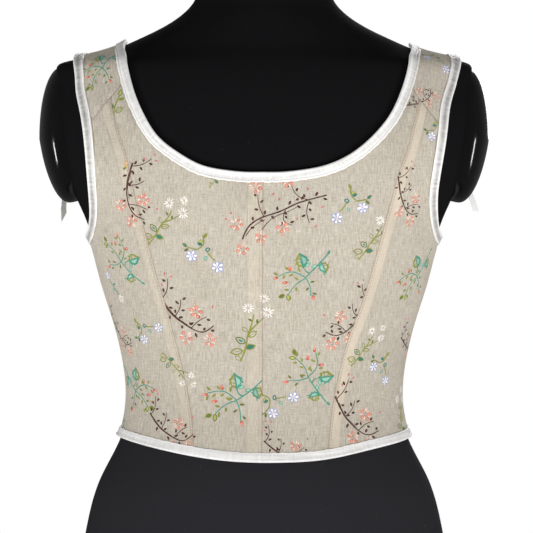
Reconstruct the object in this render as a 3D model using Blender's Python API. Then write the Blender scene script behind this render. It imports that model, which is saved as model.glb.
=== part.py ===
"""A sleeveless bustier top of printed cloth with satin-bound edges, worn by a limbless dress form.

The back of the garment faces -Y and its front faces +Y. Lengths are in millimetres until a mesh is
made, and meshes are in metres. A place on the form's skin is an angle about the upright axis, 0 at the
centre back and 90 degrees at the wearer's right side, and a level that climbs from the form's foot,
over the shoulders, to the top of its neck. Every piece of cloth is laid on that skin and lifted off it.
"""

import math
from collections import namedtuple
from itertools import product

import bmesh
import bpy
import numpy as np
from mathutils import Matrix, Vector
from mathutils.geometry import delaunay_2d_cdt

MM = 0.001
SIDES = {"left": -1, "right": 1}
BLOCK_FACES = ((0, 1, 3, 2), (4, 6, 7, 5), (0, 4, 5, 1), (2, 3, 7, 6), (0, 2, 6, 4), (1, 5, 7, 3))

# Lifts off the form's skin and other clearances
SKIN_GAP = 0.5
CLOTH_WALL = 1.0
BINDING_WALL = 1.0
SLOT_GAP = 0.6
SEAM_GAP = 0.3
BINDING_WIDTH = 8.0
CLOTH_INSIDE = SKIN_GAP + BINDING_WALL + SLOT_GAP
CLOTH_OUTSIDE = CLOTH_INSIDE + CLOTH_WALL
BINDING_OUTSIDE = CLOTH_OUTSIDE + SLOT_GAP + BINDING_WALL
FOLD = {"in": 1.2, "first": 0.3, "drop": 0.9}

# How closely edges and panels are divided
EDGE_STEP = 12.0
EDGE_TURN = 8.0
PANEL_STEP = 22.0
STRAP_STEP = 15.0
BEND_WEIGHT = 60.0

# A body panel is pictured flat about the upright axis and a strap about a line through the shoulders
BODY_RADIUS = 120.0
SHOULDER = {"y": -4.0, "z": 506.0, "radius": 70.0}

# Level above which the shoulder's ridge is looked for
RIDGE_FROM = 590.0

# Rings of the form, from its foot to the top of its neck: where each meets the side, back and front
Section = namedtuple("Section", "side_x side_z back_y back_z front_y front_z back_square front_square")
FORM_SECTIONS = (
    Section(156, 0, 103, 0, 82, 0, 2.2, 2.2),
    Section(163, 8, 110, 8, 88, 8, 2.2, 2.2),
    Section(168.5, 45, 118, 45, 94, 45, 2.2, 2.2),
    Section(167, 90, 119, 90, 97, 90, 2.2, 2.2),
    Section(161, 128, 113, 128, 98, 128, 2.2, 2.2),
    Section(153.5, 168, 104, 168, 97, 168, 2.2, 2.2),
    Section(142, 208, 92, 208, 93, 208, 2.2, 2.2),
    Section(125, 242, 80, 242, 89, 242, 2.2, 2.2),
    Section(117, 276, 74, 276, 86, 276, 2.2, 2.2),
    Section(119.5, 312, 76, 312, 88, 312, 2.2, 2.2),
    Section(127.5, 346, 82, 346, 92, 346, 2.25, 2.1),
    Section(138, 380, 89, 381, 96, 380, 2.25, 2.1),
    Section(147.5, 415, 96, 417, 98, 414, 2.3, 2.1),
    Section(162.5, 446, 100, 452, 94, 446, 2.3, 2.1),
    Section(189, 486, 100, 494, 82, 483, 2.2, 2.1),
    Section(198, 522, 94, 530, 66, 514, 2.1, 2.1),
    Section(191, 549, 87, 556, 54, 538, 2.0, 2.0),
    Section(184, 562.5, 82, 568, 46, 547.5, 2.0, 2.0),
    Section(165.5, 569, 77, 576.5, 41, 554, 2.0, 2.0),
    Section(137, 575.5, 73, 584, 38, 561, 2.0, 2.0),
    Section(108, 587, 68, 596, 35, 571, 2.0, 2.0),
    Section(78, 602.5, 62, 610, 35, 584, 2.0, 2.0),
    Section(60, 619.5, 56, 623, 40, 604, 2.0, 2.0),
    Section(55.5, 640, 52, 642, 45, 631, 2.0, 2.0),
    Section(55, 668, 50, 668, 48, 668, 2.0, 2.0),
)
FORM_ROWS = 50
FORM_COLUMNS = 40

# Bust of the form: two soft mounds on its front
BUST = {"out": 31.0, "x": 76.0, "z": 402.0, "across": 56.0, "above": 58.0, "below": 44.0}

# Arm plates: shallow domes on the planes that cut the form's shoulders
ARM_PLATE = {"x": 171.5, "z": 499.0, "y": -4.0, "lean": 8.0, "high": 55.0, "deep": 46.0, "rim": 3.0, "dome": 17.5}
NECK_CAP = {"rise": 6.0, "inset": 1.5, "round_off": 2.2}

# Ribbon bows at the front: sizes, the knot's half sizes and height, and paths out from, up from and off it
Turn = namedtuple("Turn", "out up off")
RIBBON = {"wide": 9.0, "wall": 1.0}
BOW = {
    "lift": 2.0,
    "knot": Turn(5.0, 5.5, 8.5),
    "soften": 1.6,
    "strap_end": (117.8, 513.4),
    "corner": (117.8, 482.1),
    "loop_tilt": 0.012,
    "slant": 6.0,
}
BOW_LOOP = (
    Turn(6.3, 1.5, 6.0),
    Turn(12, 2.5, 6.2),
    Turn(20, 2.0, 6.6),
    Turn(27, 0.5, 7.8),
    Turn(29.5, -0.5, 10.2),
    Turn(27, 0.0, 13.0),
    Turn(20, 1.0, 14.0),
    Turn(12, 1.5, 12.0),
    Turn(6.3, 1.0, 8.8),
)
OUTER_TAIL = (Turn(5.5, -3.0, 4.0), Turn(10, -3.0, 3.9), Turn(26, -16, 4.6))
OUTER_TAIL_TIP = {"left": (178.0, 58.0, 438.0), "right": (184.0, 58.0, 441.5)}
INNER_TAIL = (Turn(-4.0, -5.8, 4.0), Turn(-4.6, -9, 4.0), Turn(-7, -22, 9.0), Turn(-9, -38, 12.0), Turn(-11, -54, 18.0))

# Edges and seams as places on the back, the shoulder's ridge or the front. Each side of the body has its
# own x, outward from the centre, and its own z; a place on the ridge needs only x.
Knot = namedtuple("Knot", "mark on left_x left_z right_x right_z")
NECK_EDGE = (
    Knot("centre", "back", 1.0, 476, -1.0, 476),
    Knot("", "back", 14, 476, 12, 476),
    Knot("", "back", 31, 477.5, 29, 477.5),
    Knot("", "back", 52, 482, 50, 481.5),
    Knot("", "back", 69, 491, 71, 491),
    Knot("", "back", 86.5, 504.5, 90, 506.5),
    Knot("", "back", 98, 521.5, 102.5, 521.5),
    Knot("", "back", 106, 539, 111, 538),
    Knot("strap", "back", 111, 555.5, 117, 555),
    Knot("", "back", 114.5, 570, 120.5, 569),
    Knot("", "back", 116.3, 580, 122.8, 578),
    Knot("", "ridge", 117.5, 0, 124, 0),
    Knot("", "front", 117.5, 573, 122.5, 571),
    Knot("", "front", 115, 558, 119, 557),
    Knot("", "front", 111, 538, 113, 537),
    Knot("end", "front", 104, 514, 105, 514),
)
ARM_EDGE = (
    Knot("end", "front", 131, 514, 132, 514),
    Knot("", "front", 142, 533, 145, 533),
    Knot("", "front", 151.5, 552, 156, 551),
    Knot("", "front", 157.5, 562.5, 162.5, 561),
    Knot("", "ridge", 160.5, 0, 165.5, 0),
    Knot("", "back", 160, 568, 164.8, 567),
    Knot("", "back", 158, 561, 162.8, 560),
    Knot("", "back", 156, 544, 159, 547),
    Knot("", "back", 152, 525, 153, 527),
    Knot("strap", "back", 149, 508, 150.5, 508),
    Knot("", "back", 146.7, 485.5, 147, 486),
    Knot("", "back", 144.3, 457, 142.7, 458),
    Knot("", "back", 144, 440, 143, 441),
    Knot("", "back", 146.5, 427, 145.5, 427),
    Knot("side", "front", 149.5, 421, 149.5, 421),
    Knot("", "front", 146, 429, 146, 429),
    Knot("", "front", 136, 448, 136, 448),
    Knot("", "front", 126, 468, 126, 468),
    Knot("", "front", 123.5, 477, 123.5, 477),
    Knot("", "front", 117.5, 481.5, 117.5, 481.5),
    Knot("", "front", 109, 479.5, 109, 479.5),
    Knot("princess", "front", 93, 470, 93, 470),
    Knot("", "front", 74, 456.5, 74, 456.5),
    Knot("", "front", 50, 443, 50, 443),
    Knot("", "front", 25, 433, 25, 433),
    Knot("centre", "front", 0, 429, 0, 429),
)
HEM_EDGE = (
    Knot("centre", "back", 2.2, 232.6, -2.2, 232.6),
    Knot("", "back", 28, 233.6, 21, 232.8),
    Knot("princess", "back", 58.7, 236.8, 53, 234.8),
    Knot("", "back", 94, 242.2, 82, 239.6),
    Knot("", "back", 119, 245.6, 119, 244.6),
    Knot("side", "front", 124.5, 245, 124.5, 245),
    Knot("", "front", 105, 240, 105, 240),
    Knot("princess front", "front", 56, 230, 56, 230),
    Knot("", "front", 26, 224.5, 26, 224.5),
    Knot("centre front", "front", 0, 222, 0, 222),
)
CENTRE_BACK = (
    Knot("hem", "back", 2.2, 232.6, -2.2, 232.6),
    Knot("", "back", 1.6, 355, -1.6, 355),
    Knot("neck", "back", 1.0, 476, -1.0, 476),
)
PRINCESS_BACK = (
    Knot("hem", "back", 58.7, 236.8, 53, 234.8),
    Knot("", "back", 59.5, 262, 56, 273),
    Knot("", "back", 64.5, 296, 62.4, 308.5),
    Knot("", "back", 70.2, 322, 69.8, 337),
    Knot("", "back", 77.4, 350.5, 78, 359),
    Knot("", "back", 85.5, 378.5, 86.8, 387),
    Knot("", "back", 93, 407, 93.2, 410),
    Knot("", "back", 100.8, 436.5, 100.4, 438),
    Knot("", "back", 106.5, 457, 105.3, 456),
    Knot("", "back", 110.6, 477.5, 109.6, 473),
    Knot("", "back", 116, 498, 116.5, 491),
    Knot("", "back", 122.6, 517.5, 122, 511.5),
    Knot("strap", "back", 126.5, 536.5, 128, 535),
)
STRAP_SEAM = (
    Knot("neck", "back", 111, 555.5, 117, 555),
    Knot("princess", "back", 126.5, 536.5, 128, 535),
    Knot("arm", "back", 149, 508, 150.5, 508),
)
SIDE_SEAM = (
    Knot("hem", "front", 124.5, 245, 124.5, 245),
    Knot("", "front", 120.4, 276, 120.4, 276),
    Knot("", "front", 127, 330, 127, 330),
    Knot("", "front", 139.5, 378, 139.5, 378),
    Knot("arm", "front", 149.5, 421, 149.5, 421),
)
PRINCESS_FRONT = (
    Knot("hem", "front", 56, 230, 56, 230),
    Knot("", "front", 52, 276, 52, 276),
    Knot("", "front", 58, 322, 58, 322),
    Knot("", "front", 70, 362, 70, 362),
    Knot("", "front", 80, 402, 80, 402),
    Knot("", "front", 88, 440, 88, 440),
    Knot("top", "front", 93, 470, 93, 470),
)
CENTRE_FRONT = (
    Knot("hem", "front", 0, 222, 0, 222),
    Knot("top", "front", 0, 429, 0, 429),
)


def spline(knots, values):
    """Natural cubic spline through columns of values, as a function of the knots' measure."""
    knots, values = np.asarray(knots, float), np.asarray(values, float)
    gap = np.diff(knots)
    count = len(knots)
    matrix = np.eye(count)
    right = np.zeros_like(values)
    for i in range(1, count - 1):
        matrix[i, i - 1 : i + 2] = gap[i - 1], 2 * (gap[i - 1] + gap[i]), gap[i]
        right[i] = 6 * ((values[i + 1] - values[i]) / gap[i] - (values[i] - values[i - 1]) / gap[i - 1])
    bend = np.linalg.solve(matrix, right)

    def at(place):
        place = np.asarray(place, float)
        i = np.clip(np.searchsorted(knots, place, "right") - 1, 0, count - 2)
        after = (place - knots[i])[..., None]
        before = (knots[i + 1] - place)[..., None]
        h = gap[i][..., None]
        return (
            (bend[i] * before**3 + bend[i + 1] * after**3) / (6 * h)
            + (values[i] / h - bend[i] * h / 6) * before
            + (values[i + 1] / h - bend[i + 1] * h / 6) * after
        )

    return at


def form_levels():
    """Level of each section: the way travelled so far, the mean of the side's and the back's."""
    rows = np.array(FORM_SECTIONS, float)
    side = np.hypot(np.diff(rows[:, 0]), np.diff(rows[:, 1]))
    back = np.hypot(np.diff(rows[:, 2]), np.diff(rows[:, 3]))
    return np.concatenate([[0.0], np.cumsum((side + back) / 2)])


LEVELS = form_levels()
SECTION_AT = spline(LEVELS, FORM_SECTIONS)


def skin(angle, level):
    """Points of the form's skin."""
    angle, level = np.broadcast_arrays(np.asarray(angle, float), np.asarray(level, float))
    side_x, side_z, back_y, back_z, front_y, front_z, back_square, front_square = np.moveaxis(
        SECTION_AT(level), -1, 0
    )
    sine, cosine = np.sin(angle), np.cos(angle)
    on_back = cosine >= 0
    depth = np.where(on_back, back_y, front_y)
    square = np.where(on_back, back_square, front_square)
    radius = ((np.abs(sine) / side_x) ** square + (np.abs(cosine) / depth) ** square) ** (-1 / square)
    x, y = radius * sine, -radius * cosine
    z = side_z + (np.where(on_back, back_z, front_z) - side_z) * cosine**2
    across = [(x - side * BUST["x"]) / BUST["across"] for side in (-1, 1)]
    upward = (z - BUST["z"]) / np.where(z > BUST["z"], BUST["above"], BUST["below"])
    mound = BUST["out"] * np.exp(-(upward**2)) * sum(np.exp(-(a**2)) for a in across)
    y = np.where(on_back, y, y + mound * cosine**2)
    return np.stack([x, y, z], -1)


def surface_frame(angle, level):
    """How far a small change of angle and of level moves a point, and the skin's normal."""
    step_angle, step_level = 1e-4, 1e-2
    along = (skin(angle + step_angle, level) - skin(angle - step_angle, level)) / (2 * step_angle)
    upward = (skin(angle, level + step_level) - skin(angle, level - step_level)) / (2 * step_level)
    normal = np.cross(along, upward)
    return along, upward, normal / np.linalg.norm(normal, axis=-1, keepdims=True)


def lifted(places, lift):
    """Points at one lift off the skin, along its normal."""
    angle, level = places[:, 0], places[:, 1]
    return skin(angle, level) + surface_frame(angle, level)[2] * lift


def halved(low, high, is_low, steps=36):
    """Where a rising measure crosses its aim, by halving; is_low tells where it has not yet."""
    for _ in range(steps):
        middle = (low + high) / 2
        below = is_low(middle)
        low, high = np.where(below, middle, low), np.where(below, high, middle)
    return (low + high) / 2


def places_at(x, z, on):
    """Angles and levels, on the right side, of places given by x and z on the back, the ridge or the front."""
    ridge = on == "ridge"
    inner = np.where(on == "front", math.pi, 0.0)
    low, high = np.full(x.shape, LEVELS[0]), np.full(x.shape, LEVELS[-1])

    def angle(level):
        return halved(inner, np.full(x.shape, math.pi / 2), lambda a: skin(a, level)[..., 0] < x)

    across = halved(low, high, lambda level: skin(angle(level), level)[..., 2] < z)
    over = halved(np.full(x.shape, RIDGE_FROM), high, lambda level: SECTION_AT(level)[..., 0] > x)
    return np.where(ridge, math.pi / 2, angle(across)), np.where(ridge, over, across)


def material(name, colour, roughness, metallic=0.0):
    made = bpy.data.materials.new(name)
    made.use_nodes = True
    shader = made.node_tree.nodes["Principled BSDF"]
    shader.inputs["Base Color"].default_value = (*colour, 1.0)
    shader.inputs["Roughness"].default_value = roughness
    shader.inputs["Metallic"].default_value = metallic
    return made


def add_object(name, points, faces, finish, smooth_angle=40.0):
    """An object from points in millimetres, with its normals made to agree."""
    mesh = bpy.data.meshes.new(name)
    mesh.from_pydata([Vector(p) * MM for p in points], [], faces)
    shape = bmesh.new()
    shape.from_mesh(mesh)
    bmesh.ops.recalc_face_normals(shape, faces=shape.faces)
    shape.to_mesh(mesh)
    shape.free()
    mesh.shade_smooth()
    mesh.set_sharp_from_angle(angle=math.radians(smooth_angle))
    mesh.materials.append(finish)
    made = bpy.data.objects.new(name, mesh)
    bpy.context.scene.collection.objects.link(made)
    return made


def ring_faces(count, start, next_start):
    return [
        (start + i, start + (i + 1) % count, next_start + (i + 1) % count, next_start + i) for i in range(count)
    ]


def loft(rings, closed=False):
    """Points and faces of a tube through rings of equal counts, with its ends filled unless it is closed."""
    count = len(rings[0])
    points = [tuple(p) for ring in rings for p in ring]
    faces = []
    for row in range(len(rings) - (0 if closed else 1)):
        faces += ring_faces(count, row * count, (row + 1) % len(rings) * count)
    if not closed:
        faces.append(tuple(range(count))[::-1])
        faces.append(tuple(range(len(points) - count, len(points))))
    return points, faces


def plate_frame(sign):
    """Where an arm plate sits: its x axis points out of the form, its z axis up the shoulder."""
    lean = Matrix.Rotation(math.radians(ARM_PLATE["lean"]), 4, "Y")
    here = Matrix.Translation(Vector((ARM_PLATE["x"], ARM_PLATE["y"], ARM_PLATE["z"]))) @ lean
    return Matrix.Diagonal((sign, 1, 1, 1)) @ here


def add_form(jersey, gloss):
    """The dress form: torso with its shoulders cut flat, two arm plates and a neck cap."""
    angles = np.linspace(0, 2 * math.pi, FORM_COLUMNS, endpoint=False)
    share = np.linspace(0, 1, FORM_ROWS)
    levels = np.interp(share * (len(LEVELS) - 1), range(len(LEVELS)), LEVELS)
    torso = add_object("form_torso", *loft([skin(angles, level) for level in levels]), jersey)
    for side, sign in SIDES.items():
        cutter = add_arm_cutter(side, sign)
        cut = torso.modifiers.new(f"cut {side} shoulder", "BOOLEAN")
        cut.operation = "DIFFERENCE"
        cut.object = cutter
        add_arm_plate(side, sign, gloss)
    top = FORM_SECTIONS[-1]
    rings = []
    rise, inset, round_off = NECK_CAP["rise"], NECK_CAP["inset"], NECK_CAP["round_off"]
    for height, inward in ((SEAM_GAP, inset), (rise - round_off, inset), (rise, inset + round_off)):
        scale = 1 - inward / top.side_x
        ring = skin(angles, LEVELS[-1]) * (scale, scale, 1)
        rings.append(ring + (0, 0, height))
    add_object("form_neck_cap", *loft(rings), gloss)


def add_arm_cutter(side, sign):
    """A block outside the plane of one arm plate."""
    reach = 90.0
    corners = [Vector(corner) for corner in product((0, reach), (-reach, reach), (-reach, reach))]
    cutter = add_object(f"cutter_{side}", [plate_frame(sign) @ corner for corner in corners], BLOCK_FACES, None)
    cutter.hide_render = True
    cutter.display_type = "WIRE"
    return cutter


def add_arm_plate(side, sign, gloss):
    steps = 32
    turn = np.linspace(0, 2 * math.pi, steps, endpoint=False)
    dome_foot = SEAM_GAP + ARM_PLATE["rim"]
    profile = [(SEAM_GAP, 1.0), (dome_foot, 1.0)]
    profile += [(dome_foot + ARM_PLATE["dome"] * lift, math.sqrt(1 - lift**2)) for lift in (0.3, 0.6, 0.84, 0.96)]
    rings = []
    for out, share in profile:
        ring = [
            (out, ARM_PLATE["deep"] * share * math.cos(a), ARM_PLATE["high"] * share * math.sin(a)) for a in turn
        ]
        rings.append([plate_frame(sign) @ Vector(p) for p in ring])
    add_object(f"form_arm_plate_{side}", *loft(rings), gloss, smooth_angle=60.0)


def edge_line(knots, side):
    """A smooth line through knots on the skin, as angles and levels, and where each mark falls in it."""
    x = np.array([knot.left_x if side == "left" else knot.right_x for knot in knots], float)
    z = np.array([knot.left_z if side == "left" else knot.right_z for knot in knots], float)
    angle, level = places_at(np.abs(x), z, np.array([knot.on for knot in knots]))
    places = np.stack([angle * SIDES[side] * np.where(x < 0, -1, 1), level], -1)
    reach = np.linalg.norm(np.diff(skin(places[:, 0], places[:, 1]), axis=0), axis=1)
    knots_at = np.concatenate([[0.0], np.cumsum(reach)])
    facing = surface_frame(places[:, 0], places[:, 1])[2]
    turned = np.degrees(np.arccos(np.clip((facing[1:] * facing[:-1]).sum(1), -1, 1)))
    counts = np.ceil(np.maximum(reach / EDGE_STEP, turned / EDGE_TURN)).astype(int)
    line_at = spline(knots_at, places)
    stops, marks = [0.0], {knots[0].mark: 0}
    for knot, count, low, high in zip(knots[1:], counts, knots_at[:-1], knots_at[1:]):
        stops += list(np.linspace(low, high, count + 1)[1:])
        if knot.mark:
            marks[knot.mark] = len(stops) - 1
    return line_at(np.array(stops)), marks


def between(line, start, end):
    """The part of a marked line from one mark to another, in either direction."""
    places, marks = line
    first, last = marks[start], marks[end]
    return places[first : last + 1] if first <= last else places[last : first + 1][::-1]


def moved(places, shift):
    """Places moved over the skin by vectors that lie in it."""
    along, upward, _ = surface_frame(places[:, 0], places[:, 1])
    aa, au, uu = (along**2).sum(-1), (along * upward).sum(-1), (upward**2).sum(-1)
    sa, su = (shift * along).sum(-1), (shift * upward).sum(-1)
    whole = aa * uu - au**2
    return places + np.stack([(sa * uu - su * au) / whole, (su * aa - sa * au) / whole], -1)


def inset_outline(pieces):
    """One closed outline from pieces of line, each moved inwards by its own inset."""
    places, insets = [], []
    for piece, inset in pieces:
        places += [tuple(p) for p in piece[:-1]]
        insets += [inset] * (len(piece) - 1)
    places, after = np.array(places), np.array(insets)
    before = np.roll(after, 1)
    solid = skin(places[:, 0], places[:, 1])
    _, _, normal = surface_frame(places[:, 0], places[:, 1])
    inward_after = np.cross(normal, np.roll(solid, -1, 0) - solid)
    inward_before = np.cross(normal, solid - np.roll(solid, 1, 0))
    inward_after /= np.linalg.norm(inward_after, axis=1, keepdims=True)
    inward_before /= np.linalg.norm(inward_before, axis=1, keepdims=True)
    agree = (inward_after * inward_before).sum(1)
    straight = agree > 0.96
    bend = np.where(straight, 0.0, agree)
    factor_after = (after - before * bend) / (1 - bend**2)
    factor_before = (before - after * bend) / (1 - bend**2)
    middle = (inward_after + inward_before) * (after + before)[:, None] / 4
    corner = inward_after * factor_after[:, None] + inward_before * factor_before[:, None]
    return moved(places, np.where(straight[:, None], middle, corner))


def pictured(places, is_strap):
    """Flat coordinates in which a panel's triangles are chosen."""
    x, y, z = np.moveaxis(skin(places[:, 0], places[:, 1]), -1, 0)
    if is_strap:
        return np.stack([-x, SHOULDER["radius"] * np.arctan2(y - SHOULDER["y"], z - SHOULDER["z"])], -1)
    return np.stack([BODY_RADIUS * np.arctan2(x, -y), z], -1)


def clearance(outline, here):
    """How far inside a closed outline each point is; negative outside it."""
    start, end, here = outline, np.roll(outline, -1, 0), here[:, None]
    span = end - start
    share = np.clip(((here - start) * span).sum(-1) / (span**2).sum(-1), 0, 1)
    away = np.linalg.norm(start + span * share[..., None] - here, axis=-1).min(1)
    x, y = here[..., 0], here[..., 1]
    crosses = (start[:, 1] > y) != (end[:, 1] > y)
    at = start[:, 0] + (y - start[:, 1]) / np.where(crosses, span[:, 1], 1) * span[:, 0]
    return np.where((crosses & (at > x)).sum(1) % 2, away, -away)


def panel_places(outline, pieces, is_strap):
    """Places inside a panel, and edges between them: a row under each binding's inner edge, then more
    between the rows, spread by distance and by how much the skin bends."""
    step = STRAP_STEP if is_strap else PANEL_STEP
    border = pictured(outline, is_strap)
    found, kept = [], []
    for piece, inset in pieces:
        if inset > SEAM_GAP:
            _, _, normal = surface_frame(piece[:, 0], piece[:, 1])
            inward = np.cross(normal, np.gradient(skin(piece[:, 0], piece[:, 1]), axis=0))
            inward *= BINDING_WIDTH / np.linalg.norm(inward, axis=1, keepdims=True)
            row = moved(piece, inward)
            row = row[clearance(border, pictured(row, is_strap)) > BINDING_WIDTH / 4]
            kept += [(len(found) + i, len(found) + i + 1) for i in range(len(row) - 1)]
            found += list(row)
    low, high = outline.min(0), outline.max(0)
    grid = np.meshgrid(
        np.arange(low[0], high[0], step / 4 / BODY_RADIUS), np.arange(low[1], high[1], step / 4), indexing="ij"
    )
    more = np.stack([g.ravel() for g in grid], -1)
    more = more[clearance(border, pictured(more, is_strap)) > step / 2]

    def spread(places):
        return np.concatenate([skin(*places.T), surface_frame(*places.T)[2] * BEND_WEIGHT], -1)

    taken, left, left_spread = spread(np.array(found)), more, spread(more)
    near = np.linalg.norm(left_spread[:, None] - taken, axis=-1).min(1) < step * 0.7
    left, left_spread = left[~near], left_spread[~near]
    while len(left):
        found.append(left[0])
        far = np.linalg.norm(left_spread - left_spread[0], axis=1) > step
        left, left_spread = left[far], left_spread[far]
    return np.array(found), kept


def add_panel(name, pieces, is_strap, finish):
    """A wall of cloth inside an outline that runs anticlockwise as seen from outside the form."""
    outline = inset_outline(pieces)
    inner, kept = panel_places(outline, pieces, is_strap)
    rim = len(outline)
    places = np.concatenate([outline, inner])
    border = [(i, (i + 1) % rim) for i in range(rim)] + [(rim + i, rim + j) for i, j in kept]
    flat = [Vector(p) for p in pictured(places, is_strap)]
    _, _, faces, sources, _, _ = delaunay_2d_cdt(flat, border, [tuple(range(rim))], 1, 1e-5)
    where = places[[source[0] for source in sources]]
    outside, inside = lifted(where, CLOTH_OUTSIDE), lifted(where, CLOTH_INSIDE)
    count = len(where)
    used = {i: n for n, source in enumerate(sources) for i in source}
    edge = [used[i] for i in range(rim)]
    walls = [tuple(face) for face in faces]
    walls += [tuple(i + count for i in face)[::-1] for face in faces]
    walls += [(a, b, b + count, a + count)[::-1] for a, b in zip(edge, edge[1:] + edge[:1])]
    return add_object(name, [*outside, *inside], walls, finish)


def add_binding(name, line, inward, finish):
    """A folded strip over an edge: one leg outside the cloth, one inside it, and the fold between."""
    top, foot, wall, wide = BINDING_OUTSIDE, SKIN_GAP, BINDING_WALL, BINDING_WIDTH
    soft, softer = FOLD["in"], FOLD["first"]
    section = (
        (wide, top),
        (soft, top),
        (softer, top - FOLD["drop"]),
        (0.0, (top + foot) / 2),
        (softer, foot + FOLD["drop"]),
        (soft, foot),
        (wide, foot),
        (wide, foot + wall),
        (wall, foot + wall),
        (wall, top - wall),
        (wide, top - wall),
    )
    solid = skin(line[:, 0], line[:, 1])
    tangent = np.gradient(solid, axis=0)
    _, upward, normal = surface_frame(line[:, 0], line[:, 1])
    across = np.cross(normal, tangent) * inward
    at_front = np.abs(line[:, 0]) > math.radians(179)
    across[at_front] = upward[at_front] * np.sign((across * upward).sum(-1))[at_front, None]
    across /= np.linalg.norm(across, axis=1, keepdims=True)
    columns = [lifted(moved(line, across * far), lift) for far, lift in section]
    return add_object(name, *loft(np.stack(columns, 1)), finish, smooth_angle=50.0)


def shortened(line, start=0.0, end=0.0):
    """A line on the skin with a little taken off its ends."""
    line = line.copy()
    solid = skin(line[:, 0], line[:, 1])
    for tip, neighbour, gap in ((0, 1, start), (-1, -2, end)):
        reach = np.linalg.norm(solid[neighbour] - solid[tip])
        line[tip] += (line[neighbour] - line[tip]) * gap / reach
    return line


def add_band(name, path, widths, finish, closed=False, slant=0.0):
    """A ribbon along a path, as wide as the vectors across it; slant draws out one edge of its end."""
    path, widths = np.asarray(path, float), np.asarray(widths, float)
    if closed:
        tangent = np.roll(path, -1, 0) - np.roll(path, 1, 0)
    else:
        tangent = np.gradient(path, axis=0)
    tangent /= np.linalg.norm(tangent, axis=1, keepdims=True)
    widths = widths - tangent * (widths * tangent).sum(1, keepdims=True)
    widths *= RIBBON["wide"] / 2 / np.linalg.norm(widths, axis=1, keepdims=True)
    walls = np.cross(tangent, widths)
    walls *= RIBBON["wall"] / 2 / np.linalg.norm(walls, axis=1, keepdims=True)
    drawn = np.zeros_like(path)
    drawn[-1] = tangent[-1] * slant / 2
    rings = [path + widths + walls + drawn, path - widths + walls - drawn]
    rings += [path - widths - walls - drawn, path + widths - walls + drawn]
    return add_object(name, *loft(np.stack(rings, 1), closed), finish)


def smooth_path(points, count):
    points = np.array(points, float)
    knots_at = np.concatenate([[0.0], np.cumsum(np.linalg.norm(np.diff(points, axis=0), axis=1))])
    return spline(knots_at, points)(np.linspace(0, knots_at[-1], count))


def add_bow(side, satin):
    """The ribbon bow that ties one strap's front end to the top corner of the bodice's front."""
    sign = SIDES[side]
    tips = np.array([BOW["strap_end"], BOW["corner"]])
    ends = np.stack(places_at(tips[:, 0], tips[:, 1], np.full(2, "front")), -1) * (sign, 1)
    here = ends.mean(0)[None]
    angle, level = here[:, 0], here[:, 1]
    normal = surface_frame(angle, level)[2][0]
    up = -np.diff(skin(*ends.T), axis=0)[0]
    up -= normal * (up @ normal)
    up /= np.linalg.norm(up)
    out = np.cross(up, normal) * -sign
    foot = skin(angle, level)[0]  # the point under the knot's middle

    def at(turn):
        return foot + out * turn.out + up * turn.up + normal * turn.off

    knot = BOW["knot"]
    heights = (BOW["lift"], BOW["lift"] + knot.off)
    block = [at(Turn(*corner)) for corner in product((-knot.out, knot.out), (-knot.up, knot.up), heights)]
    made = add_object(f"ribbon_knot_{side}", block, BLOCK_FACES, satin)
    soften = made.modifiers.new("soften", "BEVEL")
    soften.width = BOW["soften"] * MM
    soften.segments = 2

    for name, far, reach in (("strap", ends[0], 1), ("corner", ends[1], -1)):
        near = moved(here, up[None] * reach * (knot.up + SEAM_GAP))[0]
        rows = near + (far - near) * np.linspace(0, 1, 4)[:, None]
        path = lifted(rows, (CLOTH_INSIDE + CLOTH_OUTSIDE) / 2)
        facing = surface_frame(rows[:, 0], rows[:, 1])[2]
        add_band(f"ribbon_tie_{name}_{side}", path, np.cross(facing, np.gradient(path, axis=0)), satin)

    for name, towards in (("outer", 1), ("inner", -1)):
        turns = [Turn(towards * row.out, row.up, row.off) for row in BOW_LOOP]
        path = np.array([at(turn) for turn in turns])
        reach = np.array([[row.out - BOW_LOOP[0].out] for row in BOW_LOOP])
        tilted = up + out * towards * BOW["loop_tilt"] * reach
        add_band(f"ribbon_loop_{name}_{side}", path, tilted, satin, closed=True)

    tip = np.array(OUTER_TAIL_TIP[side]) * (sign, 1, 1)
    path = smooth_path([*(at(row) for row in OUTER_TAIL), tip], 11)
    across = np.cross(np.gradient(path, axis=0), normal)
    add_band(f"ribbon_tail_outer_{side}", path, across, satin, slant=BOW["slant"] * sign)

    turns = [at(row) for row in INNER_TAIL]
    path = smooth_path(turns, 8)
    across = np.tile(out, (len(path), 1))
    add_band(f"ribbon_tail_inner_{side}", path, across, satin, slant=BOW["slant"])


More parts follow.
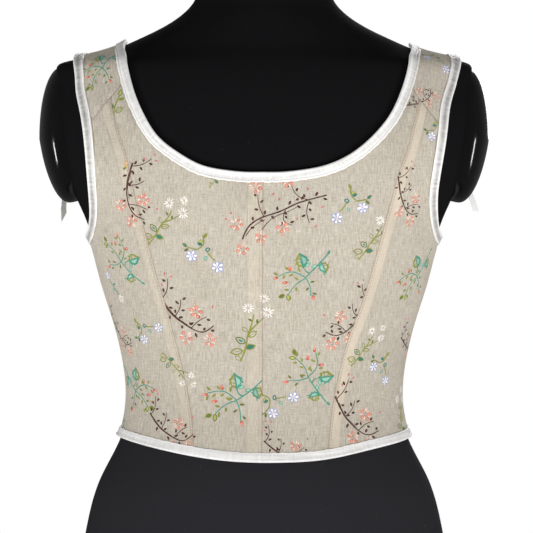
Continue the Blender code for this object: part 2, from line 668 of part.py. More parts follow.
def add_garment(cloth, satin):
    half = SEAM_GAP / 2
    bound = BINDING_WALL + SLOT_GAP
    lines = {}
    for side in SIDES:
        tables = {
            "neck": NECK_EDGE,
            "arm": ARM_EDGE,
            "hem": HEM_EDGE,
            "centre back": CENTRE_BACK,
            "princess back": PRINCESS_BACK,
            "strap": STRAP_SEAM,
            "side": SIDE_SEAM,
            "princess front": PRINCESS_FRONT,
            "centre front": CENTRE_FRONT,
        }
        lines[side] = {name: edge_line(knots, side) for name, knots in tables.items()}

    panels = {
        "panel_centre_back": (
            ("hem", "centre", "princess", bound),
            ("princess back", "hem", "strap", half),
            ("strap", "princess", "neck", half),
            ("neck", "strap", "centre", bound),
            ("centre back", "neck", "hem", half),
        ),
        "panel_side_back": (
            ("hem", "princess", "side", bound),
            ("side", "hem", "arm", half),
            ("arm", "side", "strap", bound),
            ("strap", "arm", "princess", half),
            ("princess back", "strap", "hem", half),
        ),
        "strap": (
            ("strap", "neck", "arm", half),
            ("arm", "strap", "end", bound),
            None,
            ("neck", "end", "strap", bound),
        ),
        "panel_side_front": (
            ("hem", "side", "princess front", bound),
            ("princess front", "hem", "top", half),
            ("arm", "princess", "side", bound),
            ("side", "arm", "hem", half),
        ),
        "panel_centre_front": (
            ("hem", "princess front", "centre front", bound),
            ("centre front", "hem", "top", half),
            ("arm", "centre", "princess", bound),
            ("princess front", "top", "hem", half),
        ),
    }
    for side, sign in SIDES.items():
        mine = lines[side]
        for name, outline in panels.items():
            pieces = []
            for part in outline:
                if part is None:
                    tips = [between(mine["arm"], "end", "end")[0], between(mine["neck"], "end", "end")[0]]
                    pieces.append((np.linspace(*tips, 4), 0.0))
                else:
                    line, start, end, inset = part
                    pieces.append((between(mine[line], start, end), inset))
            if sign < 0:
                pieces = [(piece[::-1], inset) for piece, inset in pieces[::-1]]
            add_panel(f"{name}_{side}", pieces, name == "strap", cloth)
        add_binding(f"binding_arm_{side}", shortened(mine["arm"][0], end=half), -sign, satin)
        add_bow(side, satin)
    neck = [lines[side]["neck"][0] for side in SIDES]
    add_binding("binding_neck", np.concatenate([neck[0][::-1], neck[1][1:]]), -1, satin)
    hem = [lines[side]["hem"][0] for side in SIDES]
    whole_hem = shortened(np.concatenate([hem[0][::-1], hem[1][1:]]), half, half)
    add_binding("binding_hem", whole_hem, 1, satin)


def main():
    for old in list(bpy.data.objects):
        bpy.data.objects.remove(old)
    jersey = material("black jersey", (0.012, 0.012, 0.014), 0.85)
    gloss = material("black plastic", (0.01, 0.01, 0.011), 0.15)
    cloth = material("printed linen", (0.56, 0.49, 0.4), 0.9)
    satin = material("white satin", (0.85, 0.85, 0.84), 0.35)
    add_form(jersey, gloss)
    add_garment(cloth, satin)


main()
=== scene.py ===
import math
import random
from itertools import product

import bmesh
import bpy
import numpy as np
from mathutils import Matrix, Vector
from mathutils.geometry import delaunay_2d_cdt


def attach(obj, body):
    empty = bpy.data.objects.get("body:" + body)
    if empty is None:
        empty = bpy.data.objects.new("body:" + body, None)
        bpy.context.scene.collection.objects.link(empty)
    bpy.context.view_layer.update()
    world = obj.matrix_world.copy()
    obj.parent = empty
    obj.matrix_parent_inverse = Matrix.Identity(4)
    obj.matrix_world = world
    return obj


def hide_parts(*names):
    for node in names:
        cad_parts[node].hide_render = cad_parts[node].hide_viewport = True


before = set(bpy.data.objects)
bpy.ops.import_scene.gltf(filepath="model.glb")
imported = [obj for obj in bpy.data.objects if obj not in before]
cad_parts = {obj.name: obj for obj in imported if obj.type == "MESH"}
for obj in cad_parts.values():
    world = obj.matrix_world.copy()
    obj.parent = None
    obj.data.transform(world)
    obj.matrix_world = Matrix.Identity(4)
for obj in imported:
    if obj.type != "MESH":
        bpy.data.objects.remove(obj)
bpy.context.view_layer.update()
print("frame loaded:", len(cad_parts), "nodes")

# Lengths are in millimetres until a mesh is made. The back faces -Y. A place on the form's skin is an
# angle about the upright axis, 0 at the centre back, and a level that climbs from foot to neck.
mm = 0.001
sides = {"left": -1, "right": 1}

# Columns: side x, side z, back y, back z, front y, front z, how square the back is, and the front
formSections = (
    (156, 0, 103, 0, 82, 0, 2.2, 2.2),
    (163, 8, 110, 8, 88, 8, 2.2, 2.2),
    (168.5, 45, 118, 45, 94, 45, 2.2, 2.2),
    (167, 90, 119, 90, 97, 90, 2.2, 2.2),
    (161, 128, 113, 128, 98, 128, 2.2, 2.2),
    (153.5, 168, 104, 168, 97, 168, 2.2, 2.2),
    (142, 208, 92, 208, 93, 208, 2.2, 2.2),
    (125, 242, 80, 242, 89, 242, 2.2, 2.2),
    (117, 276, 74, 276, 86, 276, 2.2, 2.2),
    (119.5, 312, 76, 312, 88, 312, 2.2, 2.2),
    (127.5, 346, 82, 346, 92, 346, 2.25, 2.1),
    (138, 380, 89, 381, 96, 380, 2.25, 2.1),
    (147.5, 415, 96, 417, 98, 414, 2.3, 2.1),
    (162.5, 446, 100, 452, 94, 446, 2.3, 2.1),
    (189, 486, 100, 494, 82, 483, 2.2, 2.1),
    (198, 522, 94, 530, 66, 514, 2.1, 2.1),
    (191, 549, 87, 556, 54, 538, 2.0, 2.0),
    (184, 562.5, 82, 568, 46, 547.5, 2.0, 2.0),
    (165.5, 569, 77, 576.5, 41, 554, 2.0, 2.0),
    (137, 575.5, 73, 584, 38, 561, 2.0, 2.0),
    (108, 587, 68, 596, 35, 571, 2.0, 2.0),
    (78, 602.5, 62, 610, 35, 584, 2.0, 2.0),
    (60, 619.5, 56, 623, 40, 604, 2.0, 2.0),
    (55.5, 640, 52, 642, 45, 631, 2.0, 2.0),
    (55, 668, 50, 668, 48, 668, 2.0, 2.0),
)
bust = {"out": 31.0, "x": 76.0, "z": 402.0, "across": 56.0, "above": 58.0, "below": 44.0}
ridgeFrom = 590.0  # level above which the shoulder's ridge is looked for

# Knots of edges and seams: mark, which face, x and z on the left side, and on the right where they differ
neckEdge = (
    ("centre", "back", 1.0, 476, -1.0, 476),
    ("", "back", 14, 476, 12, 476),
    ("", "back", 31, 477.5, 29, 477.5),
    ("", "back", 52, 482, 50, 481.5),
    ("", "back", 69, 491, 71, 491),
    ("", "back", 86.5, 504.5, 90, 506.5),
    ("", "back", 98, 521.5, 102.5, 521.5),
    ("", "back", 106, 539, 111, 538),
    ("strap", "back", 111, 555.5, 117, 555),
    ("", "back", 114.5, 570, 120.5, 569),
    ("", "back", 116.3, 580, 122.8, 578),
    ("", "ridge", 117.5, 0, 124, 0),
    ("", "front", 117.5, 573, 122.5, 571),
    ("", "front", 115, 558, 119, 557),
    ("", "front", 111, 538, 113, 537),
    ("end", "front", 104, 514, 105, 514),
)
armEdge = (
    ("end", "front", 131, 514, 132, 514),
    ("", "front", 142, 533, 145, 533),
    ("", "front", 151.5, 552, 156, 551),
    ("", "front", 157.5, 562.5, 162.5, 561),
    ("", "ridge", 160.5, 0, 165.5, 0),
    ("", "back", 160, 568, 164.8, 567),
    ("", "back", 158, 561, 162.8, 560),
    ("", "back", 156, 544, 159, 547),
    ("", "back", 152, 525, 153, 527),
    ("strap", "back", 149, 508, 150.5, 508),
    ("", "back", 146.7, 485.5, 147, 486),
    ("", "back", 144.3, 457, 142.7, 458),
    ("", "back", 144, 440, 143, 441),
    ("", "back", 146.5, 427, 145.5, 427),
    ("side", "front", 149.5, 421),
    ("", "front", 146, 429),
    ("", "front", 136, 448),
    ("", "front", 126, 468),
    ("", "front", 123.5, 477),
    ("", "front", 117.5, 481.5),
    ("", "front", 109, 479.5),
    ("princess", "front", 93, 470),
    ("", "front", 74, 456.5),
    ("", "front", 50, 443),
    ("", "front", 25, 433),
    ("centre", "front", 0, 429),
)
hemEdge = (
    ("centre", "back", 2.2, 232.6, -2.2, 232.6),
    ("", "back", 28, 233.6, 21, 232.8),
    ("princess", "back", 58.7, 236.8, 53, 234.8),
    ("", "back", 94, 242.2, 82, 239.6),
    ("", "back", 119, 245.6, 119, 244.6),
    ("side", "front", 124.5, 245),
    ("", "front", 105, 240),
    ("princess front", "front", 56, 230),
    ("", "front", 26, 224.5),
    ("centre front", "front", 0, 222),
)
centreBack = (
    ("hem", "back", 2.2, 232.6, -2.2, 232.6),
    ("", "back", 1.6, 355, -1.6, 355),
    ("neck", "back", 1.0, 476, -1.0, 476),
)
princessBack = (
    ("hem", "back", 58.7, 236.8, 53, 234.8),
    ("", "back", 59.5, 262, 56, 273),
    ("", "back", 64.5, 296, 62.4, 308.5),
    ("", "back", 70.2, 322, 69.8, 337),
    ("", "back", 77.4, 350.5, 78, 359),
    ("", "back", 85.5, 378.5, 86.8, 387),
    ("", "back", 93, 407, 93.2, 410),
    ("", "back", 100.8, 436.5, 100.4, 438),
    ("", "back", 106.5, 457, 105.3, 456),
    ("", "back", 110.6, 477.5, 109.6, 473),
    ("", "back", 116, 498, 116.5, 491),
    ("", "back", 122.6, 517.5, 122, 511.5),
    ("strap", "back", 126.5, 536.5, 128, 535),
)
strapSeam = (
    ("neck", "back", 111, 555.5, 117, 555),
    ("princess", "back", 126.5, 536.5, 128, 535),
    ("arm", "back", 149, 508, 150.5, 508),
)
sideSeam = (
    ("hem", "front", 124.5, 245),
    ("", "front", 120.4, 276),
    ("", "front", 127, 330),
    ("", "front", 139.5, 378),
    ("arm", "front", 149.5, 421),
)
princessFront = (
    ("hem", "front", 56, 230),
    ("", "front", 52, 276),
    ("", "front", 58, 322),
    ("", "front", 70, 362),
    ("", "front", 80, 402),
    ("", "front", 88, 440),
    ("top", "front", 93, 470),
)
centreFront = (
    ("hem", "front", 0, 222),
    ("top", "front", 0, 429),
)


def spline(knots, values):
    # natural cubic through columns of values
    knots, values = np.asarray(knots, float), np.asarray(values, float)
    gap, count = np.diff(knots), len(knots)
    matrix, right = np.eye(count), np.zeros_like(values)
    for i in range(1, count - 1):
        matrix[i, i - 1 : i + 2] = gap[i - 1], 2 * (gap[i - 1] + gap[i]), gap[i]
        right[i] = 6 * ((values[i + 1] - values[i]) / gap[i] - (values[i] - values[i - 1]) / gap[i - 1])
    bend = np.linalg.solve(matrix, right)

    def at(place):
        place = np.asarray(place, float)
        i = np.clip(np.searchsorted(knots, place, "right") - 1, 0, count - 2)
        after, before, h = (place - knots[i])[..., None], (knots[i + 1] - place)[..., None], gap[i][..., None]
        curved = (bend[i] * before**3 + bend[i + 1] * after**3) / (6 * h)
        straight = (values[i] / h - bend[i] * h / 6) * before
        return curved + straight + (values[i + 1] / h - bend[i + 1] * h / 6) * after

    return at


def runAlong(path):
    # how far each point of a path is from its start
    return np.concatenate([[0.0], np.cumsum(np.linalg.norm(np.diff(path, axis=0), axis=1))])


def formLevels():
    rows = np.array(formSections, float)
    side = np.hypot(np.diff(rows[:, 0]), np.diff(rows[:, 1]))
    back = np.hypot(np.diff(rows[:, 2]), np.diff(rows[:, 3]))
    return np.concatenate([[0.0], np.cumsum((side + back) / 2)])


levels = formLevels()
sectionAt = spline(levels, formSections)


def skin(angle, level):
    angle, level = np.broadcast_arrays(np.asarray(angle, float), np.asarray(level, float))
    sideX, sideZ, backY, backZ, frontY, frontZ, backSquare, frontSquare = np.moveaxis(sectionAt(level), -1, 0)
    sine, cosine = np.sin(angle), np.cos(angle)
    onBack = cosine >= 0
    depth, square = np.where(onBack, backY, frontY), np.where(onBack, backSquare, frontSquare)
    radius = ((np.abs(sine) / sideX) ** square + (np.abs(cosine) / depth) ** square) ** (-1 / square)
    x, y = radius * sine, -radius * cosine
    z = sideZ + (np.where(onBack, backZ, frontZ) - sideZ) * cosine**2
    across = [(x - side * bust["x"]) / bust["across"] for side in (-1, 1)]
    upward = (z - bust["z"]) / np.where(z > bust["z"], bust["above"], bust["below"])
    mound = bust["out"] * np.exp(-(upward**2)) * sum(np.exp(-(a**2)) for a in across)
    return np.stack([x, np.where(onBack, y, y + mound * cosine**2), z], -1)


def surfaceFrame(angle, level):
    stepAngle, stepLevel = 1e-4, 1e-2
    along = (skin(angle + stepAngle, level) - skin(angle - stepAngle, level)) / (2 * stepAngle)
    upward = (skin(angle, level + stepLevel) - skin(angle, level - stepLevel)) / (2 * stepLevel)
    normal = np.cross(along, upward)
    return along, upward, normal / np.linalg.norm(normal, axis=-1, keepdims=True)


def lifted(places, lift):
    lift = np.broadcast_to(np.asarray(lift, float), len(places))
    return skin(*places.T) + surfaceFrame(*places.T)[2] * lift[:, None]


def moved(places, shift):
    # places moved over the skin by vectors that lie in it
    along, upward, _ = surfaceFrame(*places.T)
    aa, au, uu = (along**2).sum(-1), (along * upward).sum(-1), (upward**2).sum(-1)
    sa, su = (shift * along).sum(-1), (shift * upward).sum(-1)
    whole = aa * uu - au**2
    return places + np.stack([(sa * uu - su * au) / whole, (su * aa - sa * au) / whole], -1)


def halved(low, high, isLow):
    for _ in range(36):
        middle = (low + high) / 2
        below = isLow(middle)
        low, high = np.where(below, middle, low), np.where(below, high, middle)
    return (low + high) / 2


def placesAt(x, z, on, sign=None):
    # angles and levels of places given by x, on either side, and z on the back, the ridge or the front
    x, z, on = np.asarray(x, float), np.asarray(z, float), np.array(on)
    sign, x = np.where(x < 0, -1, 1) if sign is None else sign, np.abs(x)
    inner = np.where(on == "front", math.pi, 0.0)
    low, high = np.full(x.shape, levels[0]), np.full(x.shape, levels[-1])

    def angle(level):
        return halved(inner, np.full(x.shape, math.pi / 2), lambda a: skin(a, level)[..., 0] < x)

    across = halved(low, high, lambda level: skin(angle(level), level)[..., 2] < z)
    over = halved(np.full(x.shape, ridgeFrom), high, lambda level: sectionAt(level)[..., 0] > x)
    ridge = on == "ridge"
    return np.stack([np.where(ridge, math.pi / 2, angle(across)) * sign, np.where(ridge, over, across)], -1)


def edgeLine(knots, side):
    x, z = np.array([knot[2:4] if side == "left" else knot[-2:] for knot in knots], float).T
    sign = np.where(x < 0, -1, 1) * sides[side]
    places = placesAt(x, z, [knot[1] for knot in knots], sign)
    stops = runAlong(skin(*places.T))
    marks = {knot[0]: stop for knot, stop in zip(knots, stops)}
    return {"at": spline(stops, places), "marks": marks, "end": stops[-1]}


def between(line, start, end, step=2.5):
    first, last = line["marks"][start], line["marks"][end]
    return line["at"](np.linspace(first, last, max(3, round(abs(last - first) / step)) + 1))


def wholeLine(line, step):
    return line["at"](np.linspace(0, line["end"], round(line["end"] / step) + 1))


tables = {
    "neck": neckEdge,
    "arm": armEdge,
    "hem": hemEdge,
    "centre back": centreBack,
    "princess back": princessBack,
    "strap": strapSeam,
    "side": sideSeam,
    "princess front": princessFront,
    "centre front": centreFront,
}
lines = {side: {name: edgeLine(knots, side) for name, knots in tables.items()} for side in sides}
print("edges and seams laid on the form")


class Wire:
    # an output socket that Python's arithmetic works on
    def __init__(self, finish, socket):
        self.finish, self.socket = finish, socket

    def __add__(self, other):
        return self.finish.maths("ADD", self, other)

    def __radd__(self, other):
        return self.finish.maths("ADD", other, self)

    def __sub__(self, other):
        return self.finish.maths("SUBTRACT", self, other)

    def __rsub__(self, other):
        return self.finish.maths("SUBTRACT", other, self)

    def __mul__(self, other):
        return self.finish.maths("MULTIPLY", self, other)

    def __rmul__(self, other):
        return self.finish.maths("MULTIPLY", other, self)


class Finish:
    def __init__(self, name, **constants):
        self.material = bpy.data.materials.new(name)
        self.material.use_nodes = True
        self.tree = self.material.node_tree
        self.shader = self.tree.nodes["Principled BSDF"]
        for socket, value in constants.items():
            self.shader.inputs[socket.replace("_", " ")].default_value = value

    def join(self, value, socket):
        if isinstance(value, Wire):
            self.tree.links.new(value.socket, socket)
        else:
            socket.default_value = value

    def node(self, kind, settings=None, values=None, output=0):
        made = self.tree.nodes.new(kind)
        for key, value in (settings or {}).items():
            if key == "stops":
                ramp = made.color_ramp.elements
                for i, (place, tone) in enumerate(value):
                    stop = ramp[i] if i < 2 else ramp.new(place)
                    stop.position, stop.color = place, (tone, tone, tone, 1)
            else:
                setattr(made, key, value)
        for key, value in (values or {}).items():
            self.join(value, made.inputs[key])
        return Wire(self, made.outputs[output])

    def maths(self, operation, *values):
        return self.node("ShaderNodeMath", {"operation": operation}, dict(enumerate(values)))

    def mixed(self, first, second, share):
        return self.node("ShaderNodeMix", {"data_type": "RGBA"}, {0: share, 6: first, 7: second}, 2)

    def stretched(self, vector, scale):
        return self.node("ShaderNodeMapping", None, {"Vector": vector, "Scale": scale})

    def noise(self, vector, scale, detail=3.0, roughness=0.55):
        values = {"Vector": self.stretched(vector, scale), "Scale": 1.0}
        return self.node("ShaderNodeTexNoise", None, {**values, "Detail": detail, "Roughness": roughness})

    def grain(self):
        return self.node("ShaderNodeUVMap", {"uv_map": "grain"})

    def attribute(self, name, output=2):
        return self.node("ShaderNodeAttribute", {"attribute_name": name}, output=output)

    def bumped(self, height, distance, strength=1.0):
        values = {"Height": height, "Distance": distance, "Strength": strength}
        self.join(self.node("ShaderNodeBump", None, values), self.shader.inputs["Normal"])

    def set(self, socket, value):
        self.join(value, self.shader.inputs[socket])


def tone(*screen):
    # a colour as it looks on screen, made linear
    shares = [part / 255 for part in screen]
    return tuple(c / 12.92 if c <= 0.04045 else ((c + 0.055) / 1.055) ** 2.4 for c in shares)


def paint(colour):
    return (*tone(*colour), 1)


linen = {
    "cloth": (194, 186, 170),
    "pale": (221, 214, 201),
    "dark": (147, 137, 121),
    "channel": (222, 208, 187),
    # painted shade colour for the seam lines and the shadow lines beside channels and bindings
    "seam": (140, 112, 98),
    "thread": 0.00062,
}


def linenFinish():
    cloth = Finish("printed linen", Roughness=0.9, Sheen_Weight=0.04, Sheen_Roughness=0.5)
    cloth.set("Specular IOR Level", 0.1)
    grain = cloth.grain()
    parts = cloth.node("ShaderNodeSeparateXYZ", None, {0: grain})
    across, along = parts, Wire(cloth, parts.socket.node.outputs[1])
    wander = cloth.noise(grain, (60, 60, 1), 2.0) * 9.0
    turn = 2 * math.pi / linen["thread"]
    weave = cloth.maths("SINE", across * turn + wander) * cloth.maths("SINE", along * turn + wander)
    warpSlub = cloth.noise(grain, (1050, 110, 1), 3.0, 0.65)
    weftSlub = cloth.noise(grain, (130, 950, 1), 3.0, 0.65)
    heather = cloth.noise(grain, (620, 620, 1), 2.0, 0.8)
    mottle = cloth.noise(grain, (24, 14, 1), 2.0)
    streak = warpSlub * 0.52 + weftSlub * 0.26 + heather * 0.22
    light = cloth.node("ShaderNodeMapRange", None, {"Value": streak, "From Min": 0.36, "From Max": 0.64})
    base = cloth.mixed(paint(linen["dark"]), paint(linen["pale"]), light)
    base = cloth.mixed(base, paint(linen["cloth"]), 0.3)
    channel = cloth.attribute("channel")
    base = cloth.mixed(base, paint(linen["channel"]), channel * 0.62)
    base = cloth.mixed(base, paint(linen["dark"]), cloth.maths("MAXIMUM", mottle - 0.5, 0.0) * 0.8)
    ink = cloth.attribute("ink", 0)
    printed = cloth.attribute("ink", 3)
    worn = 1.0 - cloth.maths("MAXIMUM", 0.56 - light, 0.0) * 0.45
    base = cloth.mixed(base, ink, printed * worn * 0.96)
    # painted shade: the cloth is darkened along seam lines, at the channels' far edges and just past the
    # bindings, where shade falls
    seam = cloth.attribute("seam")
    base = cloth.mixed(base, paint(linen["seam"]), seam * 0.55)
    cloth.set("Base Color", base)
    cloth.bumped(weave * 0.2 + warpSlub * 0.7 + weftSlub * 0.4, 0.0004, 0.6)
    return cloth.material


# the second colour is painted shade on the satin, and the third is painted shade in the stitch groove
satin = {"white": (253, 252, 250), "paintedShade": (138, 134, 130), "groove": (150, 145, 138)}


def satinFinish(name, rib):
    # rib sets how strong the puckers are, both as bumps and as painted shade in them
    cloth = Finish(name, Roughness=0.42, Sheen_Weight=0.08, Sheen_Roughness=0.35)
    cloth.set("Specular IOR Level", 0.5)
    grain = cloth.grain()
    floats = cloth.noise(grain, (900, 140, 1), 2.0)
    puckers = cloth.noise(grain, (420, 46, 1), 3.0, 0.6)
    drift = cloth.noise(grain, (45, 90, 1), 2.0)
    # painted shade: a greyed band across the satin where it would reflect the dark surroundings, and shaded
    # streaks in the puckers
    heart = cloth.attribute("heart")
    groove = cloth.attribute("groove")
    streak = puckers + drift * 0.5
    streak = cloth.node("ShaderNodeMapRange", None, {"Value": streak, "From Min": 0.52, "From Max": 0.98})
    base = cloth.mixed(paint(satin["white"]), paint(satin["paintedShade"]), heart * (0.58 + streak * 0.42))
    # painted shade in the puckers, scaled by rib
    base = cloth.mixed(base, paint(satin["paintedShade"]), streak * rib)
    # painted shade in the stitch groove
    base = cloth.mixed(base, paint(satin["groove"]), groove)
    cloth.set("Base Color", base)
    cloth.set("Roughness", 0.36 + floats * 0.16)
    cloth.bumped(floats * 0.3 + puckers * (0.5 + rib), 0.0005, 0.7)
    return cloth.material


def threadFinish(name, colour):
    thread = Finish(name, Roughness=0.6, Sheen_Weight=0.1)
    place = thread.node("ShaderNodeTexCoord", None, None, 3)
    twist = thread.noise(place, (2500, 2500, 2500), 1.0)
    dark = tuple(c * 0.72 for c in tone(*colour))
    thread.set("Base Color", thread.mixed((*dark, 1), paint(colour), twist * 1.4 - 0.1))
    return thread.material


def jerseyFinish():
    jersey = Finish("black jersey", Roughness=0.92)
    jersey.set("Specular IOR Level", 0.06)
    place = jersey.node("ShaderNodeTexCoord", None, None, 3)
    rib = jersey.noise(place, (1500, 1500, 420), 2.0, 0.6)
    lint = jersey.noise(place, (260, 260, 260), 2.0, 0.75)
    fleck = jersey.node("ShaderNodeValToRGB", {"stops": [(0.68, 0.0), (0.8, 1.0)]}, {0: lint})
    up = Wire(jersey, jersey.node("ShaderNodeSeparateXYZ", None, {0: place}).socket.node.outputs[2])
    # here worn is painted light, not wear: the lower form is lighter, where more light falls on it, and more
    # of its lint flecks show there
    worn = jersey.node("ShaderNodeMapRange", None, {"Value": up, "From Min": 0.42, "From Max": 0.2})
    base = jersey.mixed(paint((12, 12, 13)), paint((22, 22, 24)), rib)
    base = jersey.mixed(base, paint((50, 50, 54)), worn * 0.66)
    jersey.set("Base Color", jersey.mixed(base, paint((74, 74, 78)), fleck * (0.12 + worn * 0.4)))
    jersey.bumped(rib, 0.0003, 0.4)
    return jersey.material


def glossFinish():
    gloss = Finish("glossy black plastic", Roughness=0.16)
    gloss.set("Specular IOR Level", 0.5)
    place = gloss.node("ShaderNodeTexCoord", None, None, 3)
    smear = gloss.noise(place, (30, 30, 30), 3.0)
    gloss.set("Base Color", gloss.mixed(paint((8, 8, 8)), paint((15, 15, 14)), smear))
    gloss.set("Roughness", 0.12 + smear * 0.1)
    return gloss.material


finishes = {
    "linen": linenFinish(),
    "satin": satinFinish("white satin binding", 0.16),
    "ribbon": satinFinish("white satin ribbon", 0.06),
    "threadWhite": threadFinish("white sewing thread", (246, 245, 242)),
    "threadBeige": threadFinish("beige sewing thread", (150, 128, 112)),
    "jersey": jerseyFinish(),
    "gloss": glossFinish(),
}
print("finishes mixed")


def addMesh(name, points, faces, finish, smoothAngle=40.0, grain=None):
    # a mesh from millimetres; grain is the cloth's own flat coordinates, in millimetres, one for each point
    mesh = bpy.data.meshes.new(name)
    mesh.from_pydata((np.asarray(points, float) * mm).tolist(), [], faces)
    if grain is not None:
        corners = np.empty(len(mesh.loops), int)
        mesh.loops.foreach_get("vertex_index", corners)
        flat = (np.asarray(grain)[corners] * mm).astype(np.float32)
        mesh.uv_layers.new(name="grain").data.foreach_set("uv", flat.ravel())
    mesh.shade_smooth()
    mesh.set_sharp_from_angle(angle=math.radians(smoothAngle))
    mesh.materials.append(finish)
    made = bpy.data.objects.new(name, mesh)
    bpy.context.scene.collection.objects.link(made)
    return made


def masked(mesh, **masks):
    # a share for each point, which a finish reads
    for name, values in masks.items():
        mask = mesh.attributes.new(name, "FLOAT", "POINT")
        mask.data.foreach_set("value", np.ravel(values).astype(np.float32))


def worked(made, node):
    # the finished piece takes its node's place
    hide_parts(node)
    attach(made, "root")
    return made


def turnedOut(made):
    shape = bmesh.new()
    shape.from_mesh(made.data)
    bmesh.ops.recalc_face_normals(shape, faces=shape.faces)
    shape.to_mesh(made.data)
    shape.free()
    return made


def loft(rings, closed=False):
    count = len(rings[0])
    points = np.concatenate(rings)
    faces = []
    for row in range(len(rings) - (0 if closed else 1)):
        a, b = row * count, (row + 1) % len(rings) * count
        faces += [(a + i, a + (i + 1) % count, b + (i + 1) % count, b + i) for i in range(count)]
    if not closed:
        faces += [tuple(range(count))[::-1], tuple(range(len(points) - count, len(points)))]
    return points, faces


# The dress form
form = {
    "columns": 240,
    "rowStep": 3.0,
    "plate": {
        "at": (171.5, -4.0, 499.0),
        "lean": 8.0,
        "up": 6.0,
        "high": 58.0,
        "deep": 47.5,
        "sunk": -7.0,
        "rim": 1.6,
        "dome": 18.6,
        "sink": 0.14,
    },
    "rounding": 9.0,
    "flatFrom": (404.0, 440.0),
    "gap": 0.3,
    "cap": {"rise": 6.0, "inset": 1.5, "round": 2.2},
}


def plateFrame(sign):
    plate = form["plate"]
    lean = Matrix.Rotation(math.radians(plate["lean"]), 4, "Y")
    here = Matrix.Translation(plate["at"]) @ lean
    return Matrix.Diagonal((sign, 1, 1, 1)) @ here


def flattened(points):
    # the shoulders pressed flat on the arm plates' planes, with a rounded edge
    low, high = form["flatFrom"]
    share = np.clip((points[:, 2] - low) / (high - low), 0, 1)
    share = share * share * (3 - 2 * share)
    for sign in sides.values():
        place = plateFrame(sign)
        outward = np.array((place.to_3x3() @ Vector((1, 0, 0))).normalized())
        depth = -((points - np.array(place.translation)) @ outward)
        inward = (np.sqrt(depth**2 + form["rounding"] ** 2) - depth) / 2
        points = points - outward * (inward * share)[:, None]
    return points


def formBody():
    angles = np.linspace(0, 2 * math.pi, form["columns"], endpoint=False)
    rows = np.linspace(levels[0], levels[-1], round(levels[-1] / form["rowStep"]))
    made = addMesh("form_body", *loft([flattened(skin(angles, level)) for level in rows]), finishes["jersey"])
    return worked(made, "form_torso")


def formPlate(side):
    plate, sign = form["plate"], sides[side]
    turn = np.linspace(0, 2 * math.pi, 120, endpoint=False)
    profile = [(plate["sunk"], 0.985), (plate["sunk"] + 0.4, 0.99), (0.4, 1.0)]
    for t in np.linspace(0.02, 1.52, 30):
        profile.append((plate["rim"] + plate["dome"] * math.sin(t) ** 0.92, math.cos(t) ** 0.96))
    rings = []
    for out, share in profile:
        flat = [(plate["deep"] * share * math.cos(a), plate["high"] * share * math.sin(a)) for a in turn]
        ring = [(out - plate["sink"] * max(z, 0), y, plate["up"] + z) for y, z in flat]
        rings.append(np.array([plateFrame(sign) @ Vector(p) for p in ring]))
    made = turnedOut(addMesh(f"form_plate_{side}", *loft(rings), finishes["gloss"], 50))
    worked(made, f"form_arm_plate_{side}")


def formCap():
    cap, angles = form["cap"], np.linspace(0, 2 * math.pi, 120, endpoint=False)
    ring = skin(angles, levels[-1])
    profile = [(form["gap"], cap["inset"] + 0.4), (form["gap"] + 0.5, cap["inset"])]
    for t in np.linspace(0, math.pi / 2, 7):
        inset = cap["inset"] + cap["round"] * (1 - math.cos(t))
        profile.append((cap["rise"] - cap["round"] * (1 - math.sin(t)), inset))
    rings = []
    for up, inset in profile:
        share = 1 - inset / formSections[-1][0]
        rings.append(ring * (share, share, 1) + (0, 0, up))
    made = turnedOut(addMesh("form_cap", *loft(rings), finishes["gloss"], 50))
    worked(made, "form_neck_cap")


formPiece = formBody()
for side in sides:
    formPlate(side)
formCap()
print("dress form built")

# The print: sprigs drawn in millimetres, y up, each shape closed and in one ink
inks = {
    "bark": tone(64, 15, 13),
    "barkLight": tone(146, 118, 106),
    "coral": tone(218, 136, 112),
    "blush": tone(238, 200, 186),
    "petal": tone(244, 228, 222),
    "pink": tone(206, 112, 122),
    "wine": tone(138, 52, 58),
    "teal": tone(58, 146, 126),
    "deepTeal": tone(30, 118, 108),
    "mint": tone(150, 196, 178),
    "olive": tone(134, 142, 50),
    "moss": tone(98, 112, 34),
    "lime": tone(178, 182, 96),
    "red": tone(222, 92, 78),
    "white": tone(243, 242, 238),
    "blue": tone(132, 146, 206),
    "gold": tone(216, 180, 96),
}


